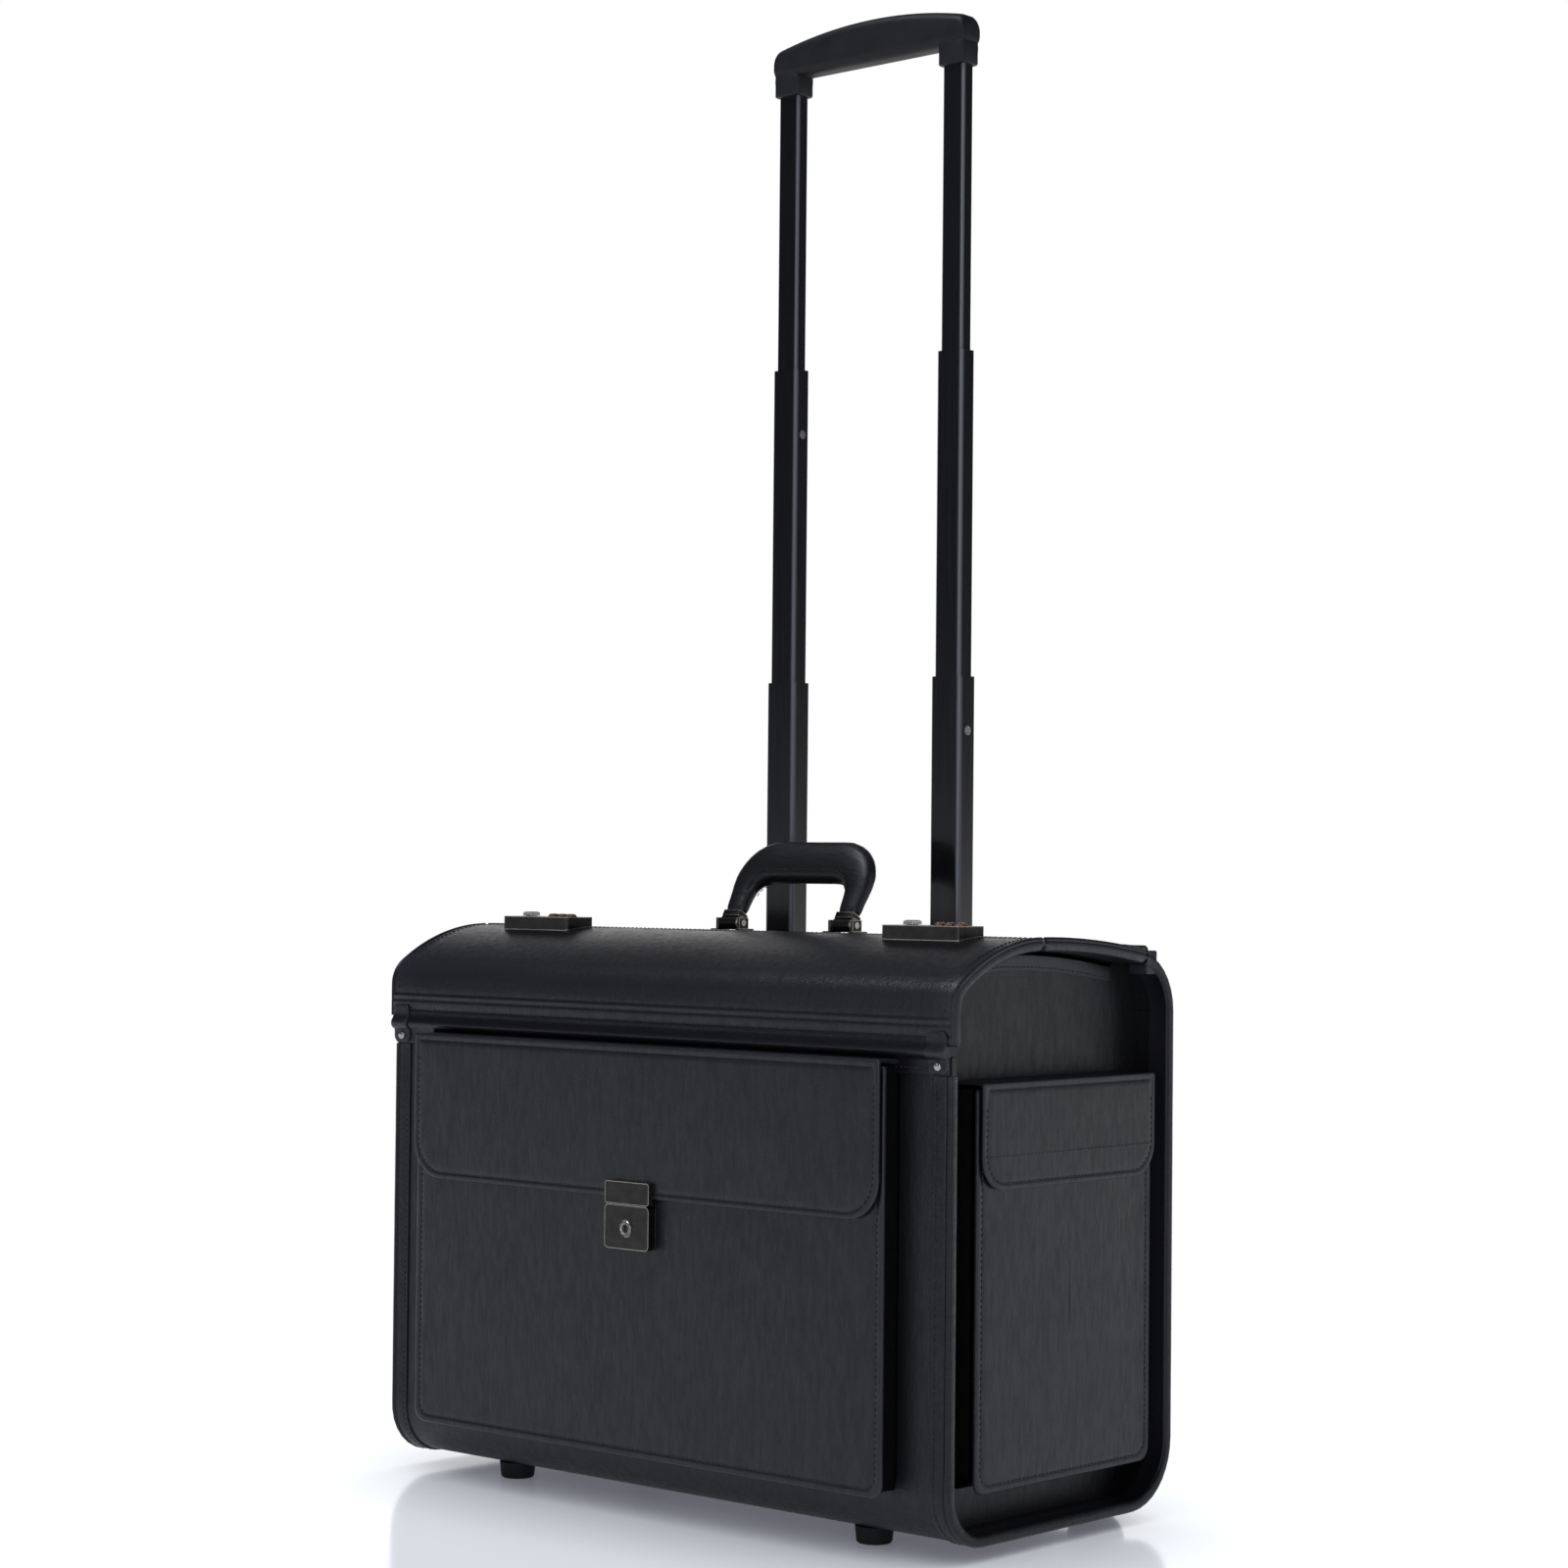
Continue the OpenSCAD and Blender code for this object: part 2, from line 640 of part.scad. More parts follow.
// arched boxes let into the rear corners of the base
module wheel_housings() color(plastic_black) seat() both_ends() difference() {
    along_x(wheel_x - housing_half_w, wheel_x + housing_half_w) intersection() {
        wheel_disc(wheel_r + wheel_clear + housing_wall);
        polygon(wrap_points(-board_t, wrap_front_z, wrap_back_z));
    }
    along_x(wheel_x - housing_half_w + housing_wall, wheel_x + housing_half_w - housing_wall)
        wheel_disc(wheel_r + wheel_clear);
    along_x(wheel_x - housing_half_w - cut, wheel_x + housing_half_w + cut) wheel_disc(axle_r);
}

module wheel_axles() color(steel) seat() both_ends()
    along_x(wheel_x - housing_half_w, wheel_x + housing_half_w) wheel_disc(axle_r);

module wheel_ring(points) translate([wheel_x, wheel_y, wheel_r]) rotate([0, 90, 0])
    rotate_extrude() polygon(points);

module wheel_tyre() {
    half = wheel_w / 2;
    wheel_ring(concat([[rim_r, half], [rim_r, -half]],
        arc([wheel_r - tread_r, -half + tread_r], tread_r, 270, 360, 6),
        arc([wheel_r - tread_r, half - tread_r], tread_r, 0, 90, 6)));
}

module wheel_hub() {
    half = wheel_w / 2;
    bore = axle_r + running_fit;
    wheel_ring([[bore, -half - 1], [boss_r, -half - 1], [boss_r, -half + 2], [rim_r, -half + 2],
        [rim_r, half - 2], [boss_r, half - 2], [boss_r, half + 1], [bore, half + 1]]);
}

module wheel_tyre_left() color(rubber_black) seat() on_side(-1) wheel_tyre();
module wheel_tyre_right() color(rubber_black) seat() on_side(1) wheel_tyre();
module wheel_hub_left() color(gunmetal) seat() on_side(-1) wheel_hub();
module wheel_hub_right() color(gunmetal) seat() on_side(1) wheel_hub();

// ---------- lids ----------

module front_lid() color(leatherette) seat() {
    along_x(-half_w - lid_overhang, half_w + lid_overhang) front_lid_outline();
    // upper halves of the hinge tabs
    both_ends() translate([tab_x - tab_w / 2, lid_face_y - 1.2, front_lid_bottom])
        cube([tab_w + 0.01, 1.2, 9]);
}

module rear_lid() color(leatherette) seat() {
    steps = [0 : rear_lid_run / 10 : rear_lid_run];
    along_x(-half_w - lid_overhang, half_w + lid_overhang) polygon(concat(
        [for (s = steps) [rear_lid_front + s, rear_lid_z(rear_lid_front + s)]],
        [for (s = steps) [rear_lid_back - s, rear_lid_z(rear_lid_back - s) - lid_t]]));
}

// two upright cheeks on a foot plate at each end of the carry handle
module handle_brackets() color(gunmetal) seat() both_ends()
    translate([handle_leg_x, handle_y, 0]) difference() {
        plate_z = rear_lid_z(handle_y - bracket_half_d);
        union() {
            for (s = [-1, 1]) translate([s * (bracket_inner + cheek_t / 2) - cheek_t / 2,
                -bracket_half_d + 2, plate_z]) cube([cheek_t, 2 * bracket_half_d - 4, cheek_h]);
            for (s = [-1, 1]) translate([s * (bracket_inner + cheek_t / 2 + 1.5) - cheek_t / 2 - 1.5,
                -bracket_half_d, plate_z]) cube([cheek_t + 3, 2 * bracket_half_d, 1.2]);
        }
        translate([-handle_leg_w, 0, handle_pin_z]) rotate([0, 90, 0])
            cylinder(r = handle_pin_r, h = 2 * handle_leg_w);
    }

module handle_pins() color(steel) seat() both_ends()
    translate([handle_leg_x - bracket_inner - cheek_t, handle_y, handle_pin_z])
        rotate([0, 90, 0]) cylinder(r = handle_pin_r, h = 2 * (bracket_inner + cheek_t));

// padded D-shaped handle with an eye at each foot
module carry_handle() color(leatherette) seat()
    translate([0, handle_y, handle_pin_z]) rotate([-handle_lean, 0, 0]) difference() {
        inner_w = handle_half_w - handle_leg_w - 1.5;
        inner_top = handle_h - handle_bar;
        eye_half = handle_leg_w / 2 - 1.5;
        union() {
            along_y(-handle_t / 2, handle_t / 2) polygon(concat(
                [[handle_half_w, handle_foot_z]],
                arc([handle_half_w - handle_outer_r, handle_h - handle_outer_r], handle_outer_r, 0, 90),
                arc([-handle_half_w + handle_outer_r, handle_h - handle_outer_r], handle_outer_r, 90, 180),
                [[-handle_half_w, handle_foot_z], [-inner_w, handle_foot_z]],
                arc([-inner_w + handle_inner_r, inner_top - handle_inner_r], handle_inner_r, 180, 90),
                arc([inner_w - handle_inner_r, inner_top - handle_inner_r], handle_inner_r, 90, 0),
                [[inner_w, handle_foot_z]]));
            both_ends() translate([handle_leg_x - eye_half, 0, 0]) {
                rotate([0, 90, 0]) cylinder(r = handle_eye_r, h = 2 * eye_half);
                translate([0, -handle_eye_r, 0]) cube([2 * eye_half, 2 * handle_eye_r, handle_foot_z + 1]);
            }
        }
        translate([-case_w, 0, 0]) rotate([0, 90, 0])
            cylinder(r = handle_pin_r + handle_pin_fit, h = 2 * case_w);
    }

// ---------- locks ----------

module lock_case() difference() {
    cavity_half = slider_flange[0] / 2 + slider_travel / 2 + 0.5;
    union() {
        difference() {
            translate([0, lock_y, case_top - lock_sink]) linear_extrude(lock_h + lock_sink)
                rounded_outline(lock_w, lock_d, 3);
            for (i = [0 : 2]) translate([dial_first_x + i * dial_pitch - dial_w / 2 - slide_gap,
                lock_y - dial_r - slide_gap, case_top - lock_sink - cut])
                    cube([dial_w + 2 * slide_gap, 2 * (dial_r + slide_gap), lock_h + lock_sink + 2 * cut]);
        }
        translate([dial_first_x - dial_pitch, lock_y, dial_z]) rotate([0, 90, 0])
            cylinder(r = spindle_r, h = 4 * dial_pitch);
    }
    // the underside follows the lid
    along_x(-lock_w, lock_w) front_lid_outline();
    // hollow and slot that the slide button runs in
    translate([slider_x + slider_travel / 2 - cavity_half, lock_y - slider_flange[1] / 2 - slide_gap,
        case_top - lock_sink - cut])
        cube([2 * cavity_half, slider_flange[1] + 2 * slide_gap, lock_h - lock_plate_t + lock_sink + cut]);
    translate([slider_x - slider_stem[0] / 2 - slide_gap, lock_y - slider_stem[1] / 2 - slide_gap, case_top])
        cube([slider_stem[0] + slider_travel + 2 * slide_gap, slider_stem[1] + 2 * slide_gap, lock_h + cut]);
}

module lock_slider() translate([slider_x, lock_y, case_top]) {
    translate([-slider_flange[0] / 2, -slider_flange[1] / 2, 0.5]) cube(slider_flange);
    translate([-slider_stem[0] / 2, -slider_stem[1] / 2, 0.5])
        cube([slider_stem[0], slider_stem[1], lock_h + 0.5]);
    translate([0, 0, lock_h + slide_gap]) linear_extrude(slider_cap[1])
        rounded_outline(slider_cap[0], slider_cap[0], 1.5);
}

module dial(i) translate([dial_first_x + i * dial_pitch - dial_w / 2, lock_y, dial_z])
    rotate([0, 90, 0]) difference() {
        cylinder(r = dial_r, h = dial_w);
        translate([0, 0, -cut]) cylinder(r = spindle_r + running_fit, h = dial_w + 2 * cut);
    }

module lock_at(side) seat() translate([side * lock_x, 0, 0]) children();

// middle knuckle and foot that each hasp turns on, with its pin
module hasp_mounts() color(gunmetal) for (side = [-1, 1]) lock_at(side) {
    foot_z = rear_lid_z(hasp_pin_y - hasp_knuckle_r);
    difference() {
        union() {
            translate([-hasp_foot_w / 2, hasp_pin_y - hasp_knuckle_r, foot_z])
                cube([hasp_foot_w, 2 * hasp_knuckle_r + 6, hasp_pin_z - foot_z]);
            translate([-hasp_foot_w / 2, hasp_pin_y, hasp_pin_z]) rotate([0, 90, 0])
                cylinder(r = hasp_knuckle_r, h = hasp_foot_w);
        }
        translate([-hasp_w, hasp_pin_y, hasp_pin_z]) rotate([0, 90, 0])
            cylinder(r = hasp_pin_r, h = 2 * hasp_w);
    }
    translate([-hasp_w / 2, hasp_pin_y, hasp_pin_z]) rotate([0, 90, 0]) cylinder(r = hasp_pin_r, h = hasp_w);
}

module hasp() difference() {
    union() {
        translate([-hasp_w / 2, seam_y + 0.6, case_top + 1.2])
            cube([hasp_w, hasp_pin_y - seam_y - 0.6, hasp_t]);
        translate([-hasp_w / 2, hasp_pin_y, hasp_pin_z]) rotate([0, 90, 0])
            cylinder(r = hasp_knuckle_r - 0.3, h = hasp_w);
    }
    // gap for the mount's knuckle
    translate([-hasp_foot_w / 2 - slide_gap, hasp_pin_y - hasp_knuckle_r - 0.5, case_top])
        cube([hasp_foot_w + 2 * slide_gap, hasp_w, hasp_w]);
    translate([-hasp_w, hasp_pin_y, hasp_pin_z]) rotate([0, 90, 0])
        cylinder(r = hasp_pin_r + running_fit, h = 2 * hasp_w);
}

module lock_case_left() color(gunmetal) lock_at(-1) lock_case();
module lock_case_right() color(gunmetal) lock_at(1) lock_case();
module lock_slider_left() color(steel) lock_at(-1) lock_slider();
module lock_slider_right() color(steel) lock_at(1) lock_slider();
module dial_left_1() color(copper) lock_at(-1) dial(0);
module dial_left_2() color(copper) lock_at(-1) dial(1);
module dial_left_3() color(copper) lock_at(-1) dial(2);
module dial_right_1() color(copper) lock_at(1) dial(0);
module dial_right_2() color(copper) lock_at(1) dial(1);
module dial_right_3() color(copper) lock_at(1) dial(2);
module hasp_left() color(gunmetal) lock_at(-1) hasp();
module hasp_right() color(gunmetal) lock_at(1) hasp();

body_wrap();
end_panel_left();
end_panel_right();
rim_left();
rim_right();
base_board();
file_divider();
trolley_cover();
rear_top_strip();
rear_hinge_bead();
front_hinge_band();
hinge_tabs();
hinge_rivets();
front_pocket();
pocket_lock_case();
side_pocket_left();
side_pocket_right();
trolley_housings();
trolley_bracket();
tube_bezels();
front_feet();
foot_screws();
wheel_housings();
wheel_axles();
front_lid();
lock_case_left();
lock_case_right();
lock_slider_left();
lock_slider_right();
dial_left_1();
dial_left_2();
dial_left_3();
dial_right_1();
dial_right_2();
dial_right_3();
rear_lid();
handle_brackets();
handle_pins();
hasp_mounts();
carry_handle();
hasp_left();
hasp_right();
pocket_flap();
pocket_lock_plate();
pocket_lock_button();
side_flap_left();
side_flap_right();
lower_tubes();
middle_tubes();
upper_tubes();
middle_plugs();
upper_plugs();
lower_lock_button();
middle_lock_button();
trolley_grip();
wheel_tyre_left();
wheel_tyre_right();
wheel_hub_left();
wheel_hub_right();
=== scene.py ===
"""Looks of the pilot rolling flight case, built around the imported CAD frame.

Every size below is in millimetres, in the frame's own axes. make_piece() turns them into metres.
"""
import json
import math
from bisect import bisect_left

import bmesh
import bpy
from mathutils import Matrix, Vector, noise


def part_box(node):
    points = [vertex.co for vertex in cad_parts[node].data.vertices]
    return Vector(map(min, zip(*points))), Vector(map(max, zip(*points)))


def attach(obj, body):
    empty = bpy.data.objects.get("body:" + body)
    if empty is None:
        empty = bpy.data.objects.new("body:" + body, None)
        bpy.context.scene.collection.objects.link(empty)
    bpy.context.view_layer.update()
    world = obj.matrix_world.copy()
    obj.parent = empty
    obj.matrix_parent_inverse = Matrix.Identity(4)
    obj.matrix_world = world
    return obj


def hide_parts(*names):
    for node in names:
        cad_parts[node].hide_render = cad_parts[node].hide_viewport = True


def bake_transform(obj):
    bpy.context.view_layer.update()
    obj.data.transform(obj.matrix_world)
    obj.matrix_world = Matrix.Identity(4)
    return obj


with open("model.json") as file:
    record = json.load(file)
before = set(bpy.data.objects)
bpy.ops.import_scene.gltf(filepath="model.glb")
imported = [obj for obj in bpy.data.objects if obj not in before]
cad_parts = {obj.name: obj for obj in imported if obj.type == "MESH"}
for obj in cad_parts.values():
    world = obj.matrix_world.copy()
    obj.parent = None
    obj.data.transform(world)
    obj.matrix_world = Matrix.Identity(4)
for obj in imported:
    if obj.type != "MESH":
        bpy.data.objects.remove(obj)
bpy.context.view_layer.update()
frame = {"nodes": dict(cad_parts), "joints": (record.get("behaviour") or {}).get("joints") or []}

MM = 0.001


def span(node):
    """Lowest and highest corner of a CAD node, in millimetres."""
    low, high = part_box(node)
    return Vector(low) / MM, Vector(high) / MM


def joint_place(name):
    """Where a joint sits, in millimetres."""
    joint = next(j for j in frame["joints"] if j["name"] == name)
    return Vector(joint["pos_m"]) / MM


# ---------- sizes, from the frame ----------

BODY_LOW, BODY_HIGH = span("body_wrap")
LID_LOW, LID_HIGH = span("front_lid")
REAR_LOW, REAR_HIGH = span("rear_lid")
POCKET_LOW, POCKET_HIGH = span("front_pocket")
FLAP_LOW, FLAP_HIGH = span("pocket_flap")
SIDE_LOW, SIDE_HIGH = span("side_pocket_right")
SIDE_FLAP_LOW, SIDE_FLAP_HIGH = span("side_flap_right")
GRIP_LOW, GRIP_HIGH = span("trolley_grip")
BEZEL_HIGH = span("tube_bezels")[1]
BEZEL_W = 31

HALF_W = BODY_HIGH.x
FRONT_Y = BODY_LOW.y
BACK_Y = BODY_HIGH.y
BASE_Z = BODY_LOW.z
BOARD = 4.5
FRONT_BEND = 32
BACK_BEND = 40
RIM_W = 14
RIM_PROUD = 1.3
SIDES = ((-1, "left"), (1, "right"))

LID_T = 8
LID_BEND = 19
LID_SLOPE = 35
LID_PROUD = 3
LID_FACE_Y = FRONT_Y - LID_PROUD
LID_TOP = LID_HIGH.z
LID_BOTTOM = LID_LOW.z
LID_HALF_W = LID_HIGH.x
SEAM_Y = LID_HIGH.y
FRONT_HINGE = joint_place("front_lid_hinge")
REAR_HINGE = joint_place("rear_lid_hinge")
REAR_RUN = REAR_HIGH.y - REAR_LOW.y
REAR_FALL = 9
REAR_CROWN = (REAR_RUN ** 2 + REAR_FALL ** 2) / (2 * REAR_FALL)
STRIP_BEND = 36
STRIP_CENTRE = (BACK_Y - STRIP_BEND, REAR_HINGE.z - 1.5 - STRIP_BEND)
STRIP_EDGE_Y = REAR_HINGE.y + 1.6
STRIP_END = math.degrees(math.acos((STRIP_EDGE_Y - STRIP_CENTRE[0]) / STRIP_BEND))

# The band sewn along the front lid's hinge, its row of stitches, and the rows along the lids' edges.
BAND_H = 16
BAND_SEAM = BAND_H - 3.5
LID_SEAM = 7.5

# The riveted tabs over the ends of the hinge strips.
TAB_W = 15
TAB_T = 1.2
TAB_RIVET_R = 3
TAB_X = span("hinge_rivets")[1].x - TAB_RIVET_R
REAR_TAB_D = 11
REAR_TAB_Y = STRIP_EDGE_Y + 1 + REAR_TAB_D / 2
REAR_TAB_TOP = REAR_HINGE.z + 0.7

# Where a hinge strip's bend meets the body and where it meets its lid. The strips below are built as fixed
# shapes and do not use them.
FRONT_FOLD = dict(start=(0, FRONT_HINGE.y * MM, (FRONT_HINGE.z - 2.5) * MM),
                  end=(0, FRONT_HINGE.y * MM, (FRONT_HINGE.z + 2.5) * MM))
REAR_FOLD = dict(start=(0, (REAR_HINGE.y + 2.2) * MM, REAR_HINGE.z * MM),
                 end=(0, (REAR_HINGE.y - 2.2) * MM, REAR_HINGE.z * MM))

# The carry handle, and the cloth simulation that swells its padding.
HANDLE_HALF_W = 59
HANDLE_H = 62.5
HANDLE_BAR = 32
HANDLE_LEG = 19
HANDLE_DEPTH = 18
HANDLE_LEAN = -30
PAD_ROOM = 0.7
PAD_SWELL = 0.9
SWELL_MESH = 2.6
SWELL_PRESSURE = 4.0
SWELL_FRAMES = 20

# Stitches, and where the points of leather edges, seams and outlines lie.
THREAD_STEP = 3.8
THREAD_LENGTH = 2.9
THREAD_RADIUS = 0.34
EDGE_PARTS = (0, 0.08, 0.3, 0.62, 1)
SEAM_PARTS = (-1.4, -0.7, 0, 0.7, 1.4)
RUN_STEP = 6
OUTLINE_STEP = 9
SKIN = 0.8

# The camera's place, its angles in degrees and its lens.
CAMERA_PLACE = (1449, -1616, 405)
CAMERA_TURN = 41.54
CAMERA_TILT = 1.5
CAMERA_ROLL = 0.55
CAMERA_LENS = 76.2

# The studio: how far its floor reaches, where its white backdrop lies, and its colours.
FLOOR_REACH = 90000
BACKDROP_SIDE = (-0.667, 0.745, 0.0)
BACKDROP_FADE = (0.80, 0.94)
FLOOR_FADE = (0.2, 0.8)
STUDIO_DIM = (0.055, 0.057, 0.068)
LAMP_COLOUR = (0.90, 0.93, 1.0)
FLOOR_GLOW = (0.665, 0.69, 0.74)
# The floor's glow darkens to this painted contact shadow within CONTACT_REACH millimetres of the case.
FLOOR_PAINTED_SHADOW = (0.10, 0.10, 0.12)
CONTACT_REACH = 160


# ---------- materials ----------


class Nodes:
    """A node tree that is built one node at a time."""

    def __init__(self, tree):
        self.tree = tree

    def feed(self, target, source):
        """Links another node's output to an input, or sets the input to a fixed value."""
        if isinstance(source, bpy.types.NodeSocket):
            self.tree.links.new(source, target)
        else:
            target.default_value = source

    def add(self, kind, output, inputs=None, **settings):
        """Adds a node, feeds its inputs and returns one of its outputs."""
        node = self.tree.nodes.new("ShaderNode" + kind)
        for key, value in settings.items():
            setattr(node, key, value)
        for key, source in (inputs or {}).items():
            self.feed(node.inputs[key], source)
        return node.outputs[output]

    def dot(self, first, second):
        return self.add("VectorMath", "Value", {0: first, 1: second}, operation="DOT_PRODUCT")

    def between(self, value, low, high, out_low=0.0, out_high=1.0, curve="LINEAR"):
        """value, mapped from low..high to out_low..out_high."""
        inputs = {"Value": value, "From Min": low, "From Max": high, "To Min": out_low, "To Max": out_high}
        return self.add("MapRange", "Result", inputs, interpolation_type=curve)

    def mixed(self, amount, first, second):
        """A colour between two, each given as three numbers or as another node's output."""
        first, second = [(*c, 1.0) if isinstance(c, tuple) else c for c in (first, second)]
        return self.add("Mix", "Result", {"Factor": amount, "A": first, "B": second}, data_type="RGBA")


class Shader(Nodes):
    """A Principled material. Its textures lie in object coordinates."""

    def __init__(self, name):
        self.material = bpy.data.materials.new(name)
        self.material.use_nodes = True
        super().__init__(self.material.node_tree)
        self.main = self.tree.nodes["Principled BSDF"]
        self.place = self.add("TexCoord", "Object")
        self.relief = None

    def give(self, **values):
        """Feeds the material's own inputs, named with _ for each space."""
        for key, value in values.items():
            self.feed(self.main.inputs[key.replace("_", " ")], value)

    def stretched(self, scale):
        """The place, stretched by a different amount along each axis."""
        return self.add("Mapping", "Vector", {"Vector": self.place, "Scale": scale})

    def noise(self, scale, detail=4.0, roughness=0.55, vector=None):
        inputs = {"Vector": vector or self.place, "Scale": scale, "Detail": detail, "Roughness": roughness}
        return self.add("TexNoise", "Fac", inputs)

    def cells(self, scale, feature="F1"):
        return self.add("TexVoronoi", "Distance", {"Vector": self.place, "Scale": scale}, feature=feature)

    def waves(self, scale, direction, distortion=0.0):
        inputs = {"Vector": self.place, "Scale": scale, "Distortion": distortion}
        return self.add("TexWave", "Fac", inputs, bands_direction=direction)

    def surface(self, output):
        """A fact of the surface, such as its Normal or its Pointiness."""
        return self.add("NewGeometry", output)

    def corners(self):
        """How much the surface faces both along X and along Y, as an upright tube's round corners do."""
        facing_x = self.add("SeparateXYZ", "X", {0: self.surface("Normal")})
        facing_y = facing_x.node.outputs["Y"]
        product = self.add("Math", "Value", {0: facing_x, 1: facing_y}, operation="MULTIPLY")
        return self.add("Math", "Value", {0: product}, operation="ABSOLUTE")

    def sharp_edges(self, reach):
        """1 on faces, less within reach millimetres of an edge."""
        eased = self.add("Bevel", "Normal", {"Radius": reach * MM}, samples=4)
        return self.dot(eased, self.surface("Normal"))

    def bump(self, height, depth, strength=1.0):
        """Adds relief of that depth, in millimetres, over what is there already."""
        inputs = {"Height": height, "Distance": depth * MM, "Strength": strength}
        if self.relief:
            inputs["Normal"] = self.relief
        self.relief = self.add("Bump", "Normal", inputs)
        self.give(Normal=self.relief)


def scaled(colour, times):
    """A colour made brighter or darker."""
    return tuple(times * part for part in colour)


def leatherette(name, dark, light, crease=(260, 260, 70), gloss=0.36, wear=1.0, shine=1.0):
    """Coated leather with pebbled grain and long creases. wear brightens its edges; shine is its sheen."""
    shader = Shader(name)
    creases = shader.noise(1.0, 5, 0.6, shader.stretched(crease))
    tone = shader.mixed(shader.between(creases, 0.36, 0.66), dark, light)
    tone = shader.mixed(shader.between(shader.noise(9, 3), 0.3, 0.7, 0.0, 0.35), tone, light)
    brightened_edges = shader.between(shader.surface("Pointiness"), 0.51, 0.56, 0.0, wear)
    shader.give(Base_Color=shader.mixed(brightened_edges, tone, scaled(light, 3.0)),
                Roughness=shader.between(creases, 0.3, 0.7, gloss + 0.16, gloss),
                Specular_IOR_Level=0.42 * shine, Coat_Weight=0.10 * shine, Coat_Roughness=0.3)
    shader.bump(shader.noise(38, 2), 0.5, 0.35)
    shader.bump(creases, 0.5, 0.7)
    shader.bump(shader.cells(900, "SMOOTH_F1"), 0.12, 0.5)
    return shader.material


def metal(name, dark, worn_edge_highlight, gloss):
    """Brushed metal, its edges painted brighter: partly wear, partly a painted highlight where they catch the
    light.
    """
    shader = Shader(name)
    lines = shader.noise(1.0, 3, 0.6, shader.stretched((30, 1500, 1500)))
    tone = shader.mixed(shader.between(shader.noise(120, 3), 0.35, 0.7), dark, scaled(dark, 0.7))
    # Painted highlight and wear: the edges are painted in the bright colour, standing in for light catching
    # them as well as for wear.
    brightened_edges = shader.between(shader.sharp_edges(0.9), 0.99, 0.88)
    shader.give(Base_Color=shader.mixed(brightened_edges, tone, worn_edge_highlight), Metallic=1.0,
                Roughness=shader.between(lines, 0.3, 0.7, gloss, gloss + 0.15))
    shader.bump(lines, 0.02, 0.4)
    return shader.material


def anodised(name):
    """Black tube: drawn lines along its length, fine rubbed marks from sliding and painted highlights on its
    round corners.
    """
    shader = Shader(name)
    drawn = shader.noise(1.0, 4, 0.6, shader.stretched((1400, 1400, 14)))
    rubbed = shader.between(shader.noise(1.0, 6, 0.7, shader.stretched((300, 300, 9))), 0.6, 0.75)
    tone = shader.mixed(rubbed, (0.003, 0.003, 0.005), (0.008, 0.008, 0.011))
    # Painted highlight: the round corners are painted light grey, standing in for light glinting along them.
    corners = shader.between(shader.corners(), 0.16, 0.42)
    shader.give(Base_Color=shader.mixed(corners, tone, (0.15, 0.15, 0.175)),
                Roughness=shader.between(drawn, 0.3, 0.7, 0.16, 0.26), Coat_Weight=0.25, Coat_Roughness=0.16)
    shader.bump(drawn, 0.015, 0.5)
    return shader.material


def moulded(name, colour, gloss=0.42, grain=1600):
    """Moulded plastic or rubber with a fine even grain."""
    shader = Shader(name)
    clouds = shader.noise(60, 4)
    shader.give(Base_Color=shader.mixed(shader.between(clouds, 0.3, 0.7), colour, scaled(colour, 1.7)),
                Roughness=shader.between(clouds, 0.3, 0.7, gloss, gloss + 0.14), Specular_IOR_Level=0.3)
    shader.bump(shader.cells(grain), 0.05, 0.5)
    return shader.material


def lining_cloth(name):
    """Woven lining: fine crossed threads with a little lint."""
    shader = Shader(name)
    lint = shader.between(shader.noise(180, 5), 0.3, 0.7)
    shader.give(Base_Color=shader.mixed(lint, (0.035, 0.036, 0.04), (0.07, 0.071, 0.078)),
                Roughness=0.9, Sheen_Weight=0.3)
    for direction in ("X", "Z", "Y"):
        shader.bump(shader.waves(240, direction, 0.6), 0.1, 0.4)
    return shader.material


def twisted_thread(name, colour):
    """Sewing thread: a slanted twist along each stitch."""
    shader = Shader(name)
    twist = shader.waves(700, "DIAGONAL")
    shader.give(Base_Color=shader.mixed(twist, colour, scaled(colour, 1.8)), Roughness=0.6)
    shader.bump(twist, 0.08, 0.6)
    return shader.material


def studio_floor(name):
    """Pale glossy floor, glowing like a light table, with a painted contact shadow under the case, fading
    into white.
    """
    shader = Shader(name)
    # Painted shadow: ambient occlusion darkens the floor's glow under and beside the case.
    open_sky = shader.add("AmbientOcclusion", "AO", {"Distance": CONTACT_REACH * MM}, samples=8)
    shader.give(Base_Color=shader.mixed(shader.noise(3, 3), (0.50, 0.52, 0.56), (0.54, 0.56, 0.60)),
                Emission_Color=shader.mixed(shader.between(open_sky, 0.1, 0.9), FLOOR_PAINTED_SHADOW, FLOOR_GLOW),
                Emission_Strength=1.0, Roughness=0.13)
    far = shader.between(shader.dot(shader.place, BACKDROP_SIDE), *FLOOR_FADE)
    white = shader.add("Emission", "Emission")
    blend = shader.add("MixShader", "Shader", {0: far, 1: shader.main.outputs["BSDF"], 2: white})
    shader.feed(shader.tree.nodes["Material Output"].inputs["Surface"], blend)
    return shader.material


LEATHER = leatherette("leatherette", (0.0018, 0.0019, 0.0030), (0.0110, 0.0114, 0.0150), gloss=0.30)
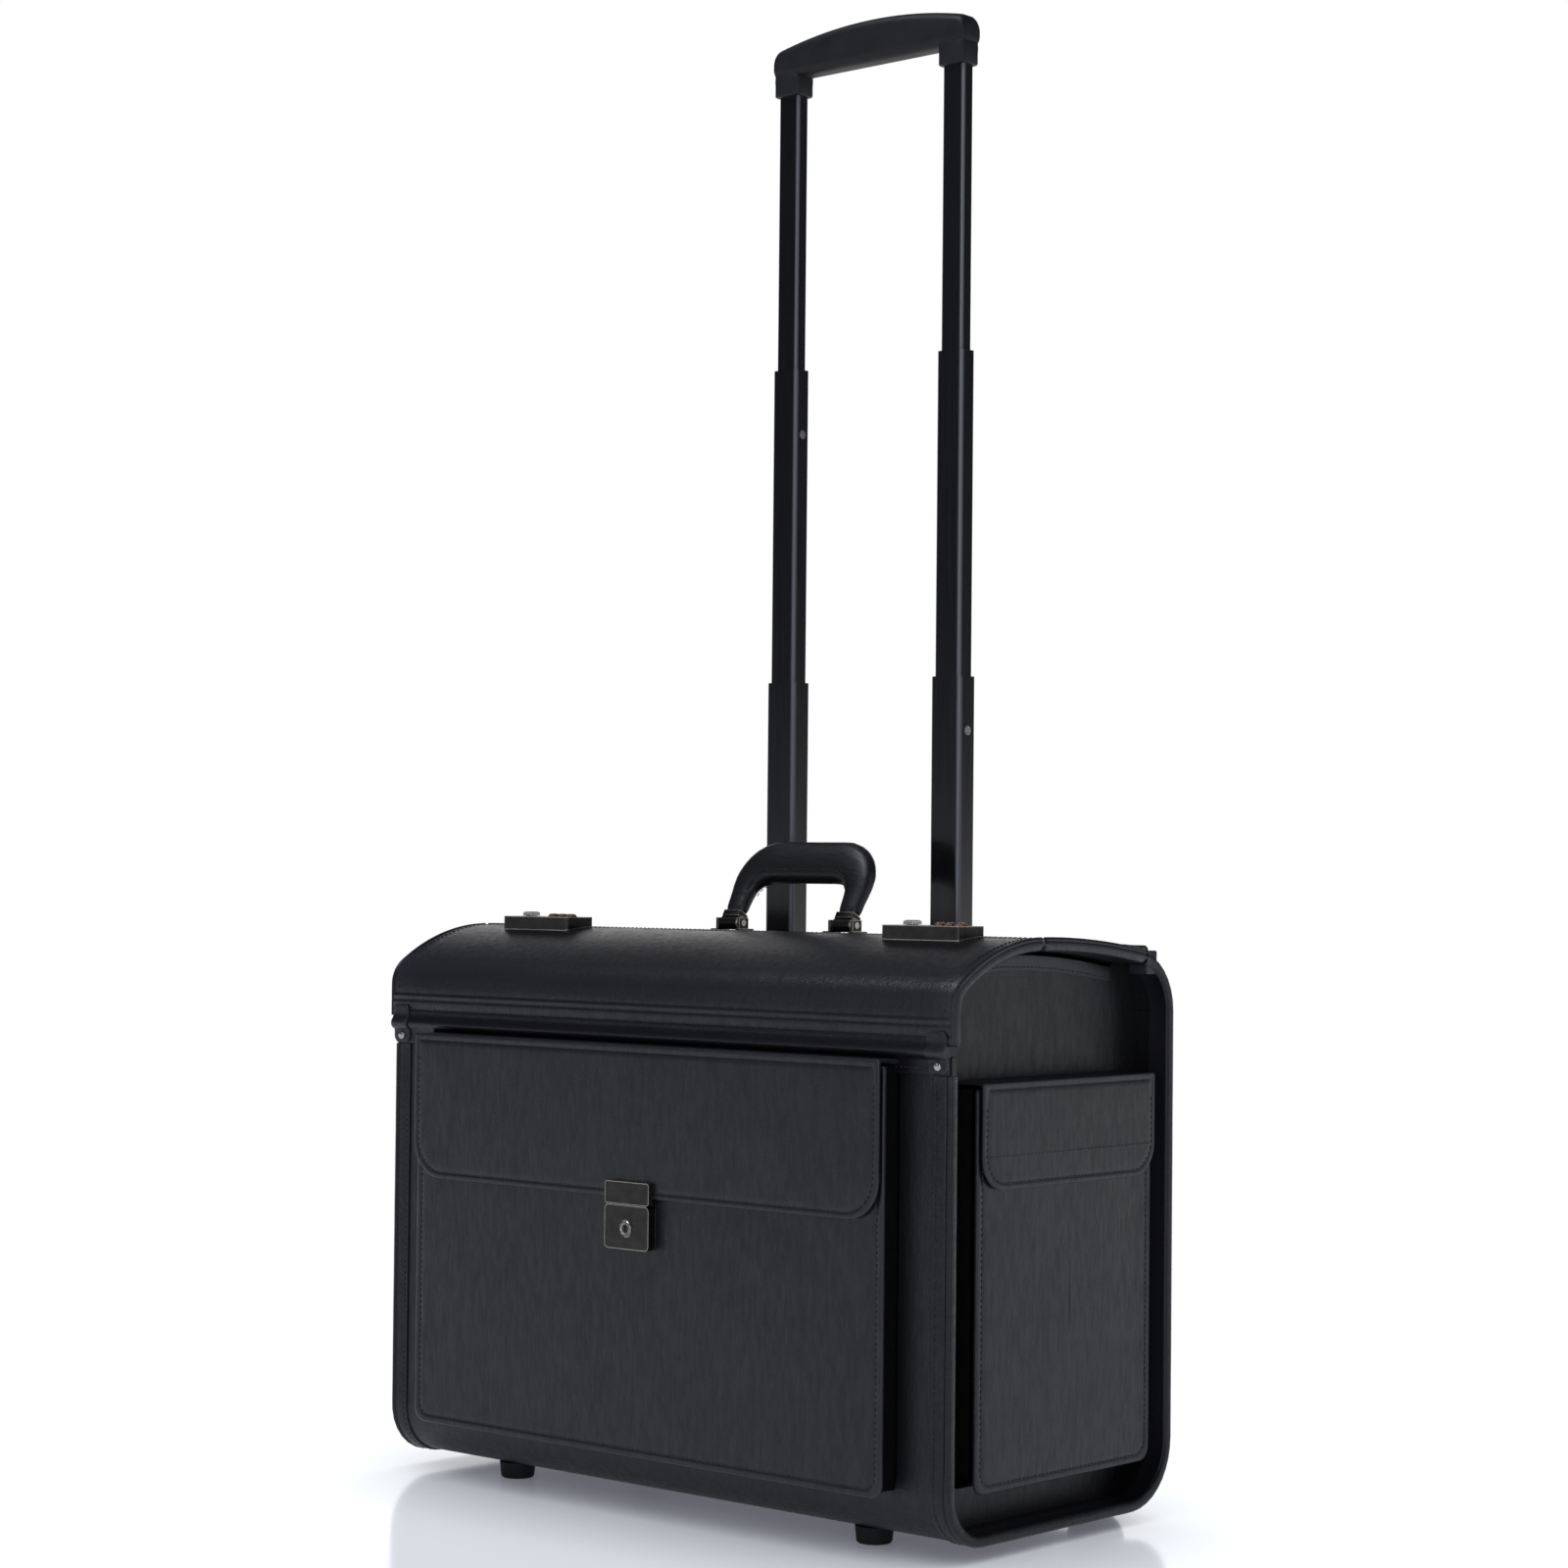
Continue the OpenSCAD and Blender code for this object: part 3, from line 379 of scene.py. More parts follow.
# Painted shade: pocket gussets are nearly black and barely glossy, standing in for the shadow in their folds.
GUSSET_PAINTED_SHADE = leatherette("gusset_painted_shade", (0.0006, 0.0006, 0.0010), (0.0016, 0.0016, 0.0022),
                          wear=0.0, shine=0.08)
BOARD_LEATHER = leatherette("board_leatherette", (0.0040, 0.0042, 0.0056), (0.0080, 0.0083, 0.0105), wear=0.0)
BINDING = leatherette("binding", (0.003, 0.003, 0.0045), (0.007, 0.007, 0.009), (200, 200, 200), 0.26,
                      shine=0.75)
HANDLE_HIDE = leatherette("handle_hide", (0.004, 0.004, 0.005), (0.008, 0.008, 0.0095), (90, 400, 400), 0.34)
THREAD = twisted_thread("black_thread", (0.014, 0.014, 0.017))
LINING = lining_cloth("lining_cloth")
# Each metal's second colour is its worn edge colour with a painted highlight.
GUNMETAL = metal("gunmetal", (0.060, 0.057, 0.055), (0.90, 0.82, 0.72), 0.26)
STEEL = metal("polished_steel", (0.50, 0.50, 0.51), (0.85, 0.85, 0.85), 0.16)
COPPER = metal("dial_copper", (0.22, 0.115, 0.075), (0.60, 0.38, 0.27), 0.30)
DIGIT_PAINT = moulded("digit_paint", (0.42, 0.42, 0.41), 0.5)
TUBE = anodised("tube_black")
PLASTIC = moulded("black_plastic", (0.008, 0.008, 0.010))
GRIP_PLASTIC = moulded("soft_touch_grip", (0.006, 0.006, 0.0075), 0.46, 1100)
RUBBER = moulded("black_rubber", (0.009, 0.009, 0.010), 0.62, 700)
DARK = moulded("keyhole_dark", (0.001, 0.001, 0.001), 0.8)


# ---------- mesh helpers ----------


def in_scene(name, data):
    """A new object in the scene."""
    thing = bpy.data.objects.new(name, data)
    bpy.context.scene.collection.objects.link(thing)
    return thing


def modify(piece, name, kind, **settings):
    """Adds a modifier to a piece and sets it up."""
    modifier = piece.modifiers.new(name, kind)
    for key, value in settings.items():
        setattr(modifier, key, value)
    return modifier


def make_piece(name, shape, material, body, crease=35):
    points, faces = shape
    mesh = bpy.data.meshes.new(name)
    mesh.from_pydata([Vector(p) * MM for p in points], [], faces)
    work = bmesh.new()
    work.from_mesh(mesh)
    bmesh.ops.recalc_face_normals(work, faces=work.faces)
    work.to_mesh(mesh)
    work.free()
    mesh.materials.append(material)
    mesh.shade_smooth()
    mesh.set_sharp_from_angle(angle=math.radians(crease))
    piece = in_scene(name, mesh)
    if body:
        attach(piece, body)
    return piece


def skin(rings, closed=False):
    """Points and faces of the skin over rings of equal length; closed joins the last to the first."""
    count = len(rings[0])
    points = [p for ring in rings for p in ring]
    faces = []
    for r in range(len(rings) if closed else len(rings) - 1):
        near = r * count
        far = (r + 1) % len(rings) * count
        for i in range(count):
            j = (i + 1) % count
            faces.append((near + i, near + j, far + j, far + i))
    if not closed:
        faces.append(tuple(reversed(range(count))))
        faces.append(tuple(range(len(points) - count, len(points))))
    return points, faces


def joined(parts):
    """Several (points, faces) pairs as one."""
    points, faces = [], []
    for more_points, more_faces in parts:
        first = len(points)
        points.extend(more_points)
        faces.extend(tuple(first + i for i in face) for face in more_faces)
    return points, faces


def even(start, end, count):
    """count + 1 numbers from start to end, evenly apart."""
    return [start + (end - start) * i / count for i in range(count + 1)]


def arc(centre, radius, start, end, count=10):
    """Points on an arc in a plane, with its angles in degrees."""
    turns = [math.radians(turn) for turn in even(start, end, count)]
    return [(centre[0] + radius * math.cos(a), centre[1] + radius * math.sin(a)) for a in turns]


def circle(centre, side, up, radius, count):
    """Points round a centre, in the plane of the directions side and up."""
    turns = even(0, 2 * math.pi, count)[:-1]
    return [centre + side * (radius * math.cos(a)) + up * (radius * math.sin(a)) for a in turns]


def smooth(value, low, high):
    """0 below low, 1 above high, and an even curve between."""
    t = min(max((value - low) / (high - low), 0), 1)
    return t * t * (3 - 2 * t)


def rounding(distance, radius):
    """How far a rounded edge has dropped at a distance in from it."""
    inside = min(max(distance / radius, 0), 1)
    return radius * (1 - math.sqrt(1 - (1 - inside) ** 2))


def ripple(a, b, size, seed):
    """Slow unevenness of a leather-covered surface, from about -1 to 1."""
    return noise.noise(Vector((a / size, b / size, seed)))


def marks_along(points):
    """How far along a path each of its points is."""
    marks = [0.0]
    for a, b in zip(points, points[1:]):
        marks.append(marks[-1] + (b - a).length)
    return marks


def stretch_at(marks, s):
    """Number of the stretch of a path that holds the distance s, and the share of it before s."""
    i = min(max(bisect_left(marks, s), 1), len(marks) - 1)
    return i, (s - marks[i - 1]) / max(marks[i] - marks[i - 1], 1e-9)


class Track:
    """A path in a plane. side is 1 where its right-hand side faces out, and -1 where its left does."""

    def __init__(self, points, side=1):
        self.points = [Vector(p) for p in points]
        self.side = side
        self.marks = marks_along(self.points)
        self.length = self.marks[-1]

    def on(self, s):
        """The point at the distance s from the start."""
        i, part = stretch_at(self.marks, min(max(s, 0), self.length))
        return self.points[i - 1].lerp(self.points[i], part)

    def outward(self, s):
        """The direction out of the path at s."""
        step = self.on(s + 0.6) - self.on(s - 0.6)
        step.normalize()
        return Vector((step.y, -step.x)) * self.side

    def at(self, s, lift=0.0):
        """The point at s, lifted out of the path."""
        return self.on(s) + self.outward(s) * lift


def places(length, edge, step, lines=()):
    """Distances from 0 to length: crowded at both rounded ends and at sewn lines, and step apart between."""
    near = [edge * part for part in EDGE_PARTS]
    count = max(int((length - 2 * edge) / step), 1)
    found = set(near) | {length - d for d in near}
    found |= {edge + (length - 2 * edge) * i / count for i in range(1, count)}
    for line in lines:
        found |= {line + d for d in SEAM_PARTS}
    return sorted(found)


def sewn_dip(distance, depth=0.45, width=0.9):
    """Dip that a row of stitches pulls into leather."""
    return -depth * math.exp(-(distance / width) ** 2)


def covered_board(name, track, half_w, thickness, material, body, edge, step,
                  relief=lambda x, s: 0.0, lines=()):
    """A covered board that follows a YZ track from -half_w to half_w, with rounded edges all round."""
    inner_edge = min(edge, thickness - edge)
    columns = [x - half_w for x in places(2 * half_w, edge, 14)]
    rings = []
    for s in places(track.length, edge, step, lines):
        end = min(s, track.length - s)
        outer, inner = [], []
        for x in columns:
            side = half_w - abs(x)
            for loop, radius, base in ((outer, edge, 0.0), (inner, inner_edge, -thickness)):
                a = radius - min(side, radius)
                b = radius - min(end, radius)
                drop = radius - math.sqrt(max(radius ** 2 - a ** 2 - b ** 2, 0))
                height = relief(x, s) * (1 - drop / radius) - drop if loop is outer else base + drop
                y, z = track.at(s, height)
                loop.append((x, y, z))
        rings.append(outer + inner[::-1])
    return make_piece(name, skin(rings), material, body)


def stitch(start, end, outward):
    """One stitch: a thread that rises from one hole and sinks into the next."""
    along = (end - start).normalized()
    across = along.cross(outward)
    middle = (start + end) / 2
    half = THREAD_LENGTH / 2
    rings = []
    for t in (-1, -0.8, -0.35, 0.35, 0.8, 1):
        radius = THREAD_RADIUS * math.sqrt(1 - 0.75 * t * t)
        centre = middle + along * (t * half) + outward * (THREAD_RADIUS * (0.55 - 1.1 * t * t))
        rings.append(circle(centre, across, outward, radius, 6))
    return skin(rings)


def stitching(name, runs, body):
    """Rows of stitches. Each run is a list of (point, outward) pairs along the seam."""
    parts = []
    for run in runs:
        marks = marks_along([pair[0] for pair in run])
        count = int(marks[-1] / THREAD_STEP)
        for k in range(count):
            i, part = stretch_at(marks, (k + 0.5) * marks[-1] / count)
            (a, out_a), (b, out_b) = run[i - 1], run[i]
            centre = a.lerp(b, part)
            ahead = (b - a).normalized() * (THREAD_LENGTH / 2)
            parts.append(stitch(centre - ahead, centre + ahead, out_a.lerp(out_b, part).normalized()))
    make_piece(name, joined(parts), THREAD, body)


def track_run(track, x, start, end, lift):
    """A seam along a YZ track at one x, for stitching()."""
    run = []
    for s in even(start, end, max(int((end - start) / RUN_STEP), 1)):
        y, z = track.at(s, lift)
        out_y, out_z = track.outward(s)
        run.append((Vector((x, y, z)), Vector((0, out_y, out_z))))
    return run


def cross_run(track, s, x0, x1, lift):
    """A seam along X at one place on a YZ track, for stitching()."""
    y, z = track.at(s, lift)
    out_y, out_z = track.outward(s)
    outward = Vector((0, out_y, out_z))
    return [(Vector((x0, y, z)), outward), (Vector((x1, y, z)), outward)]


def round_bar(points, radius, count):
    """Skin of a thin round bar along a list of points."""
    rings = []
    for i, point in enumerate(points):
        ahead = (points[min(i + 1, len(points) - 1)] - points[max(i - 1, 0)]).normalized()
        side = ahead.orthogonal().normalized()
        if abs(ahead.x) < 0.99:
            side = Vector((1, 0, 0)) - ahead * ahead.x
            side.normalize()
        up = ahead.cross(side)
        rings.append(circle(point, side, up, radius, count))
    return skin(rings)


def turned(profile, centre, axis, count):
    """Skin of a turned shape: profile is (along axis, radius) pairs."""
    axis = Vector(axis).normalized()
    side = axis.orthogonal().normalized()
    up = axis.cross(side)
    return skin([circle(Vector(centre) + axis * along, side, up, radius, count) for along, radius in profile])


def rounded_loop(width, depth, radius, count=5):
    """Outline of a rounded rectangle about the origin."""
    w, d = width / 2 - radius, depth / 2 - radius
    return (arc((w, d), radius, 0, 90, count) + arc((-w, d), radius, 90, 180, count)
            + arc((-w, -d), radius, 180, 270, count) + arc((w, -d), radius, 270, 360, count))


def dress(node, material, edge):
    """Gives a CAD node its finish, and eases its sharp edges by edge millimetres."""
    part = frame["nodes"][node]
    part.data.materials.clear()
    part.data.materials.append(material)
    modify(part, "eased_edges", "BEVEL", width=edge * MM, segments=2, limit_method="ANGLE",
           angle_limit=math.radians(40), harden_normals=False)


class Panel:
    """A flat leather panel with rounded corners. place(a, b, h) gives the point at a, b, lifted by h."""

    def __init__(self, low, high, radii, place, edge, crown, seam, seed):
        self.low, self.high = Vector(low), Vector(high)
        self.place, self.edge, self.crown, self.seam, self.seed = place, edge, crown, seam, seed
        self.depth = min(self.high.x - self.low.x, self.high.y - self.low.y) / 2
        self.outline = self.walk(radii)

    def walk(self, radii):
        """Points round the outline; radii are those of the corners from the lower left, anticlockwise."""
        corners = [(self.low.x, self.low.y, 180), (self.high.x, self.low.y, 270),
                   (self.high.x, self.high.y, 0), (self.low.x, self.high.y, 90)]
        found = []
        for (x, y, start), radius in zip(corners, radii):
            centre_x = x + radius if x == self.low.x else x - radius
            centre_y = y + radius if y == self.low.y else y - radius
            found.append(arc((centre_x, centre_y), radius, start, start + 90, 6))
        points = []
        for i, corner in enumerate(found):
            points.extend(Vector(p) for p in corner)
            a, b = Vector(corner[-1]), Vector(found[(i + 1) % 4][0])
            count = max(int((b - a).length / OUTLINE_STEP), 1)
            points.extend(a.lerp(b, k / count) for k in range(1, count))
        return points

    def inward(self, p, distance):
        """The outline's point p, moved that distance in towards the panel's middle line."""
        target = Vector((min(max(p.x, self.low.x + self.depth), self.high.x - self.depth),
                         min(max(p.y, self.low.y + self.depth), self.high.y - self.depth)))
        return p.lerp(target, distance / self.depth)

    def height(self, p, distance):
        """Height of the leather at p, that distance from its edge."""
        bulge = self.crown * (1 - (1 - distance / self.depth) ** 2)
        uneven = 0.35 * ripple(p.x, p.y, 38, self.seed) * smooth(distance, self.seam, self.seam + 20)
        return bulge + uneven + sewn_dip(distance - self.seam) - rounding(distance, self.edge)

    def spot(self, p, distance, lift=0.0):
        q = self.inward(p, distance)
        return self.place(q.x, q.y, self.height(q, distance) + lift)

    def run(self, top):
        """The seam along the edge, as far up as top, for stitching()."""
        outward = (self.place(0, 0, 50) - self.place(0, 0, 0)).normalized()
        run = []
        for p in self.outline:
            if self.inward(p, self.seam).y < top:
                run.append((self.spot(p, self.seam, 0.12), outward))
        breaks = [i for i in range(len(run)) if (run[i][0] - run[i - 1][0]).length > 30]
        turn = breaks[0] if breaks else 0
        return run[turn:] + run[:turn]

    def build(self, name, thickness, body):
        """The leather piece, with rings of points close together at its edge and at its seam."""
        distances = [self.edge * part for part in EDGE_PARTS] + [self.seam + d for d in SEAM_PARTS]
        count = max(int((self.depth - self.seam - 4) / 8), 2)
        start = self.seam + 4
        distances += even(start, self.depth * 0.97, count)
        rings = [[self.spot(p, d) for p in self.outline] for d in sorted(set(distances), reverse=True)]
        rings.append([self.place(p.x, p.y, -thickness + self.edge * 0.4) for p in self.outline])
        rings.append([self.place(*self.inward(p, self.edge * 0.4), -thickness) for p in self.outline])
        return make_piece(name, skin(rings), LEATHER, body)


# ---------- box and bindings ----------


def swept(profile, track, side, count, wave=0.0):
    """Skin of (x, lift) pairs swept along a YZ track at one end of the case, uneven by about wave."""
    rings = []
    for s in even(0, track.length, count):
        rings.append([(side * x, *track.at(s, lift + wave * ripple(s, x, 24, side))) for x, lift in profile])
    return skin(rings)


def wrap_track():
    """Down the front, round the base and up the back, then over to the rear hinge strip."""
    return Track(
        [(FRONT_Y, FRONT_HINGE.z - 14)]
        + arc((FRONT_Y + FRONT_BEND, BASE_Z + FRONT_BEND), FRONT_BEND, 180, 270, 14)
        + arc((BACK_Y - BACK_BEND, BASE_Z + BACK_BEND), BACK_BEND, 270, 360, 14)
        + arc(STRIP_CENTRE, STRIP_BEND, 0, STRIP_END, 14))


def make_bindings():
    """Sewn binding that clasps the end edges of the bent board, with a corded outer edge."""
    track = wrap_track()
    near = HALF_W - RIM_W
    profile = [(near, -0.2), (near + 0.5, RIM_PROUD * 0.8), (near + 1.4, RIM_PROUD),
               (near + 3, RIM_PROUD * 0.75), (near + 4.6, RIM_PROUD), (HALF_W - 4.2, RIM_PROUD),
               (HALF_W - 3.4, RIM_PROUD * 0.5)]
    profile += arc((HALF_W - 1.2, -0.6), 2.3, 125, -10, 7)
    profile += [(HALF_W + RIM_PROUD - 0.3, -BOARD + 0.6)]
    profile += arc((HALF_W - 1.2, -BOARD + 0.6), 1.9, -20, -90, 4)
    profile += [(near + 0.6, -BOARD - RIM_PROUD), (near, -BOARD - 0.6)]
    for side, name in SIDES:
        shape = swept(profile, track, side, 120, wave=0.12)
        binding = make_piece(f"rim_binding_{name}", shape, BINDING, "root")
        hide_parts(f"rim_{name}")
        seam = track_run(track, side * (near + 3), 4, track.length - 6, RIM_PROUD * 0.8)
        stitching(f"rim_stitches_{name}", [seam], "root")


def make_end_bindings():
    """Folded binding over the top edge of both end panels, just under the lids."""
    clear = LID_T + 3
    path = [(LID_FACE_Y + clear, FRONT_HINGE.z + 2)] + lid_points(clear)
    path += [(y, rear_top(y) - clear) for y in (SEAM_Y + 25, SEAM_Y + 50, SEAM_Y + 75, REAR_HIGH.y)]
    track = Track(path, -1)
    outer_x = span("end_panel_right")[0].x + BOARD
    inner_x = outer_x - BOARD
    profile = [(inner_x - 0.8, -9), (inner_x - 0.8, 0.2), (inner_x + 0.4, 0.9), (outer_x - 0.4, 0.9),
               (outer_x + 0.9, 0.2), (outer_x + 1.0, -8.4), (outer_x + 0.6, -9)]
    for side, name in SIDES:
        shape = swept(profile, track, side, 70)
        make_piece(f"end_top_binding_{name}", shape, BINDING, "root")
        seam = [Vector((side * (outer_x + 1.05), *track.at(s, -7))) for s in even(5, track.length - 5, 59)]
        stitching(f"end_top_stitches_{name}", [[(point, Vector((side, 0, 0))) for point in seam]], "root")


# ---------- lids ----------


def rear_top(y):
    """Height of the rear lid's crowned top."""
    return LID_TOP - REAR_CROWN + math.sqrt(REAR_CROWN ** 2 - max(y - REAR_LOW.y, 0) ** 2)


def lid_points(inset=0.0):
    """The front lid's bend and shoulder, moved in by inset."""
    slope = math.radians(LID_SLOPE)
    shoulder = (SEAM_Y - LID_FACE_Y - LID_BEND * (1 - math.sin(slope))) / math.sin(slope)
    bend_z = LID_TOP - shoulder * (1 - math.cos(slope)) - LID_BEND * math.cos(slope)
    bend = arc((LID_FACE_Y + LID_BEND, bend_z), LID_BEND - inset, 180, 90 + LID_SLOPE, 12)
    return bend + arc((SEAM_Y, LID_TOP - shoulder), shoulder - inset, 90 + LID_SLOPE, 90, 16)[1:]


def make_lid(body, track, relief, lines, step, rows, side_rows):
    """A lid's padded leather cover, its stitches and the corded piping along both its ends.

    rows are the (distance, lift) of each row of stitches across it, and side_rows is how far along the
    track the rows at its two ends run.
    """
    cover = covered_board(f"{body}_cover", track, LID_HALF_W, LID_T, LEATHER, body, 3.2, step,
                          relief, lines)
    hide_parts(body)
    side_x = LID_HALF_W - LID_SEAM
    runs = [cross_run(track, s, -side_x, side_x, lift) for s, lift in rows]
    runs += [track_run(track, x, *side_rows, 0.0) for x in (-side_x, side_x)]
    stitching(f"{body}_stitches", runs, body)
    cords = []
    for x in (-LID_HALF_W + 1.6, LID_HALF_W - 1.6):
        path = [Vector((x, *track.at(s, -0.7))) for s in even(1.5, track.length - 1.5, 50)]
        cords.append(round_bar(path, 1.5, 10))
    make_piece(f"{body}_piping", joined(cords), BINDING, body)


def make_front_lid():
    """Front lid, bent over the front corner, with a sewn-on band along its hinge."""
    track = Track([(LID_FACE_Y, LID_BOTTOM)] + lid_points(), -1)
    last = track.length - LID_SEAM

    def relief(x, s):
        band = 0.7 * (1 - smooth(s, BAND_H - 0.6, BAND_H + 0.4))
        seams = sewn_dip(s - 6) + sewn_dip(s - BAND_SEAM) + sewn_dip(last - s)
        seams += sewn_dip(LID_HALF_W - abs(x) - LID_SEAM, 0.3)
        padded = 0.5 * ripple(x, s, 60, 2.0) * smooth(s, BAND_H, BAND_H + 25)
        return band + seams + padded

    rows = ((6, 0.45), (BAND_SEAM, 0.45), (last, -0.2))
    make_lid("front_lid", track, relief, (6, BAND_SEAM, BAND_H, last), 7, rows, (BAND_H + 3, last))


def make_rear_lid():
    """Rear lid, with a low crown."""
    track = Track([(y, rear_top(y)) for y in even(REAR_LOW.y, REAR_HIGH.y, 12)], -1)

    def relief(x, s):
        padded = 0.5 * ripple(x, s, 60, 5.0)
        return padded + sewn_dip(s - LID_SEAM) + sewn_dip(LID_HALF_W - abs(x) - LID_SEAM, 0.3)

    rows = ((LID_SEAM, -0.2),)
    make_lid("rear_lid", track, relief, (LID_SEAM,), 9, rows, (LID_SEAM, track.length - 8))


def bead_track(offset=0.0, reach=5.0):
    """Over the front hinge bead, from the body's band up to reach above the lid's lower edge."""
    radius = 3.3 + offset
    lower = (FRONT_Y - 2 - SKIN - offset, FRONT_HINGE.z - 12.5)
    upper = (LID_FACE_Y - SKIN - 0.3 - offset, LID_BOTTOM + reach)
    bend = arc((FRONT_HINGE.y, FRONT_HINGE.z), radius, 222, 138, 10)
    return Track([lower, (lower[0], FRONT_HINGE.z - 4.5)] + bend + [(upper[0], LID_BOTTOM + 1.5), upper], -1)


def rear_bead_track(offset=0.0):
    """Over the rear hinge bead, from the fixed strip to the rear lid."""
    bend = arc((REAR_HINGE.y, REAR_HINGE.z), 3.0 + offset, -8, 140, 10)
    lid = [(y, rear_top(y) + SKIN + offset) for y in (REAR_HIGH.y - 2, REAR_HIGH.y - 9, REAR_HIGH.y - 16)]
    fixed = arc(STRIP_CENTRE, STRIP_BEND + SKIN + offset, STRIP_END - 5, STRIP_END - 1, 3)
    return Track(fixed + bend + lid, 1)


def make_hinge_strips():
    """Flexible strips over the two hinge beads. Each bends from the fixed box to its lid."""
    front, rear = bead_track(), rear_bead_track()
    for place, track, fold in (("front", front, FRONT_FOLD), ("rear", rear, REAR_FOLD)):
        strip = covered_board(f"{place}_hinge_strip", track, HALF_W - 1, SKIN, BINDING, None,
                              0.35, 1.6)
        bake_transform(strip)
    rows = [cross_run(front, 3, -HALF_W + 4, HALF_W - 4, 0.1)]
    fixed = Track(arc(STRIP_CENTRE, STRIP_BEND, STRIP_END - 12, STRIP_END - 9, 2), 1)
    bezel_outer, bezel_inner = BEZEL_HIGH.x + 2, BEZEL_HIGH.x - BEZEL_W - 2
    for x0, x1 in ((-HALF_W + 18, -bezel_outer), (-bezel_inner, bezel_inner), (bezel_outer, HALF_W - 18)):
        rows.append(cross_run(fixed, 1, x0, x1, 0.05))
    stitching("hinge_strip_stitches", rows, "root")
    rear_row = cross_run(rear, rear.length - 4, -HALF_W + 18, HALF_W - 18, 0.1)
    stitching("rear_hinge_strip_stitches", [rear_row], "rear_lid")


def tab_shape(track, tab_x):
    """A leather tab with rounded corners, over one end of a hinge strip."""
    columns = [x - TAB_W / 2 for x in places(TAB_W, 0.6, 3)]
    rings = []
    for s in places(track.length, 0.6, 1.5):
        end = min(s, track.length - s)
        corner = rounding(end, 4) * 0.9
        outer, inner = [], []
        for x in columns:
            px = tab_x + x * (1 - corner / TAB_W * 2)
            drop = rounding(min(TAB_W / 2 - abs(x), end), 0.6)
            outer.append((px, *track.at(s, -drop)))
            inner.append((px, *track.at(s, -TAB_T)))
        rings.append(outer + inner[::-1])
    return skin(rings)


def tab_block_shape(tab_x):
    """The raised block that holds a rear tab's rivet, with an eased top."""
    rings = []
    for inset, z in ((0, REAR_HINGE.z - 14), (0, REAR_TAB_TOP - 0.9), (0.3, REAR_TAB_TOP - 0.3),
                     (0.9, REAR_TAB_TOP)):
        share = 1 - 2 * inset / TAB_W
        rings.append([(tab_x + u * share, REAR_TAB_Y + v * share, z)
                      for u, v in rounded_loop(TAB_W, REAR_TAB_D, 1.2, 3)])
    return skin(rings)


def make_hinge_tabs():
    """Riveted leather tabs over both ends of the hinge strips."""
    front, rear = bead_track(TAB_T, 9.0), rear_bead_track(TAB_T)
    for side, name in SIDES:
        for place, track, fold in (("front", front, FRONT_FOLD), ("rear", rear, REAR_FOLD)):
            shape = tab_shape(track, side * TAB_X)
            tab = make_piece(f"{place}_tab_{name}", shape, LEATHER, None)
            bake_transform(tab)
        make_piece(f"rear_tab_block_{name}", tab_block_shape(side * TAB_X), LEATHER, "root")
    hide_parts("hinge_tabs")
    dome = [(-0.5, TAB_RIVET_R), (0.2, TAB_RIVET_R), (0.7, 2.7), (1.15, 2.0), (1.35, 1.0), (1.4, 0.05)]
    heads = []
    for side in (-1, 1):
        heads.append(turned(dome, (side * TAB_X, *front.at(4.5)), (0, -1, 0), 24))
        heads.append(turned(dome, (side * TAB_X, REAR_TAB_Y, REAR_TAB_TOP), (0, 0, 1), 24))
    rivets = make_piece("tab_rivets", joined(heads), STEEL, "root")
    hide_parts("hinge_rivets")


# ---------- pockets ----------


def gusset(name, low, high, place, depth, fold):
    """Folded side wall of a pocket: it runs down one side, along the bottom and up the other. It is painted
    nearly black as painted shade.
    """
    corner = 8
    track = Track([(low[0], high[1])] + arc((low[0] + corner, low[1] + corner), corner, 180, 270, 8)
                  + arc((high[0] - corner, low[1] + corner), corner, 270, 360, 8) + [(high[0], high[1])])
    outer = [(-1.2, 0.3), (0, 1.6), (-0.6, 3.0), (-fold, depth * 0.5), (-0.6, depth - 2.4), (0, depth - 1.2),
             (0, depth)]
    inner = [(lift - 1.2, d) for lift, d in outer]
    rings = []
    for s in even(0, track.length, 90):
        slack = 0.5 * ripple(s, 0, 30, depth)
        ring = []
        for lift, d in outer + inner[::-1]:
            middle = 1 - abs(2 * d / depth - 1)
            a, b = track.at(s, lift + slack * middle)
            ring.append(place(a, b, -d))
        rings.append(ring)
    make_piece(name, skin(rings), GUSSET_PAINTED_SHADE, "root", crease=60)


def pocket(name, low, high, place, depth, fold, seed):
    """A pocket: a sewn front panel over a folded gusset."""
    panel = Panel(low, high, (9, 9, 2, 2), place, edge=1.4, crown=0.9, seam=5, seed=seed)
    front = panel.build(f"{name}_panel", 2.6, "root")
    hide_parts(name)
    gusset(f"{name}_gusset", (low[0] + 1, low[1] + 1), (high[0] - 1, high[1] - 0.5), place, depth, fold)
    stitching(f"{name}_stitches", [panel.run(high[1] - 8)], "root")


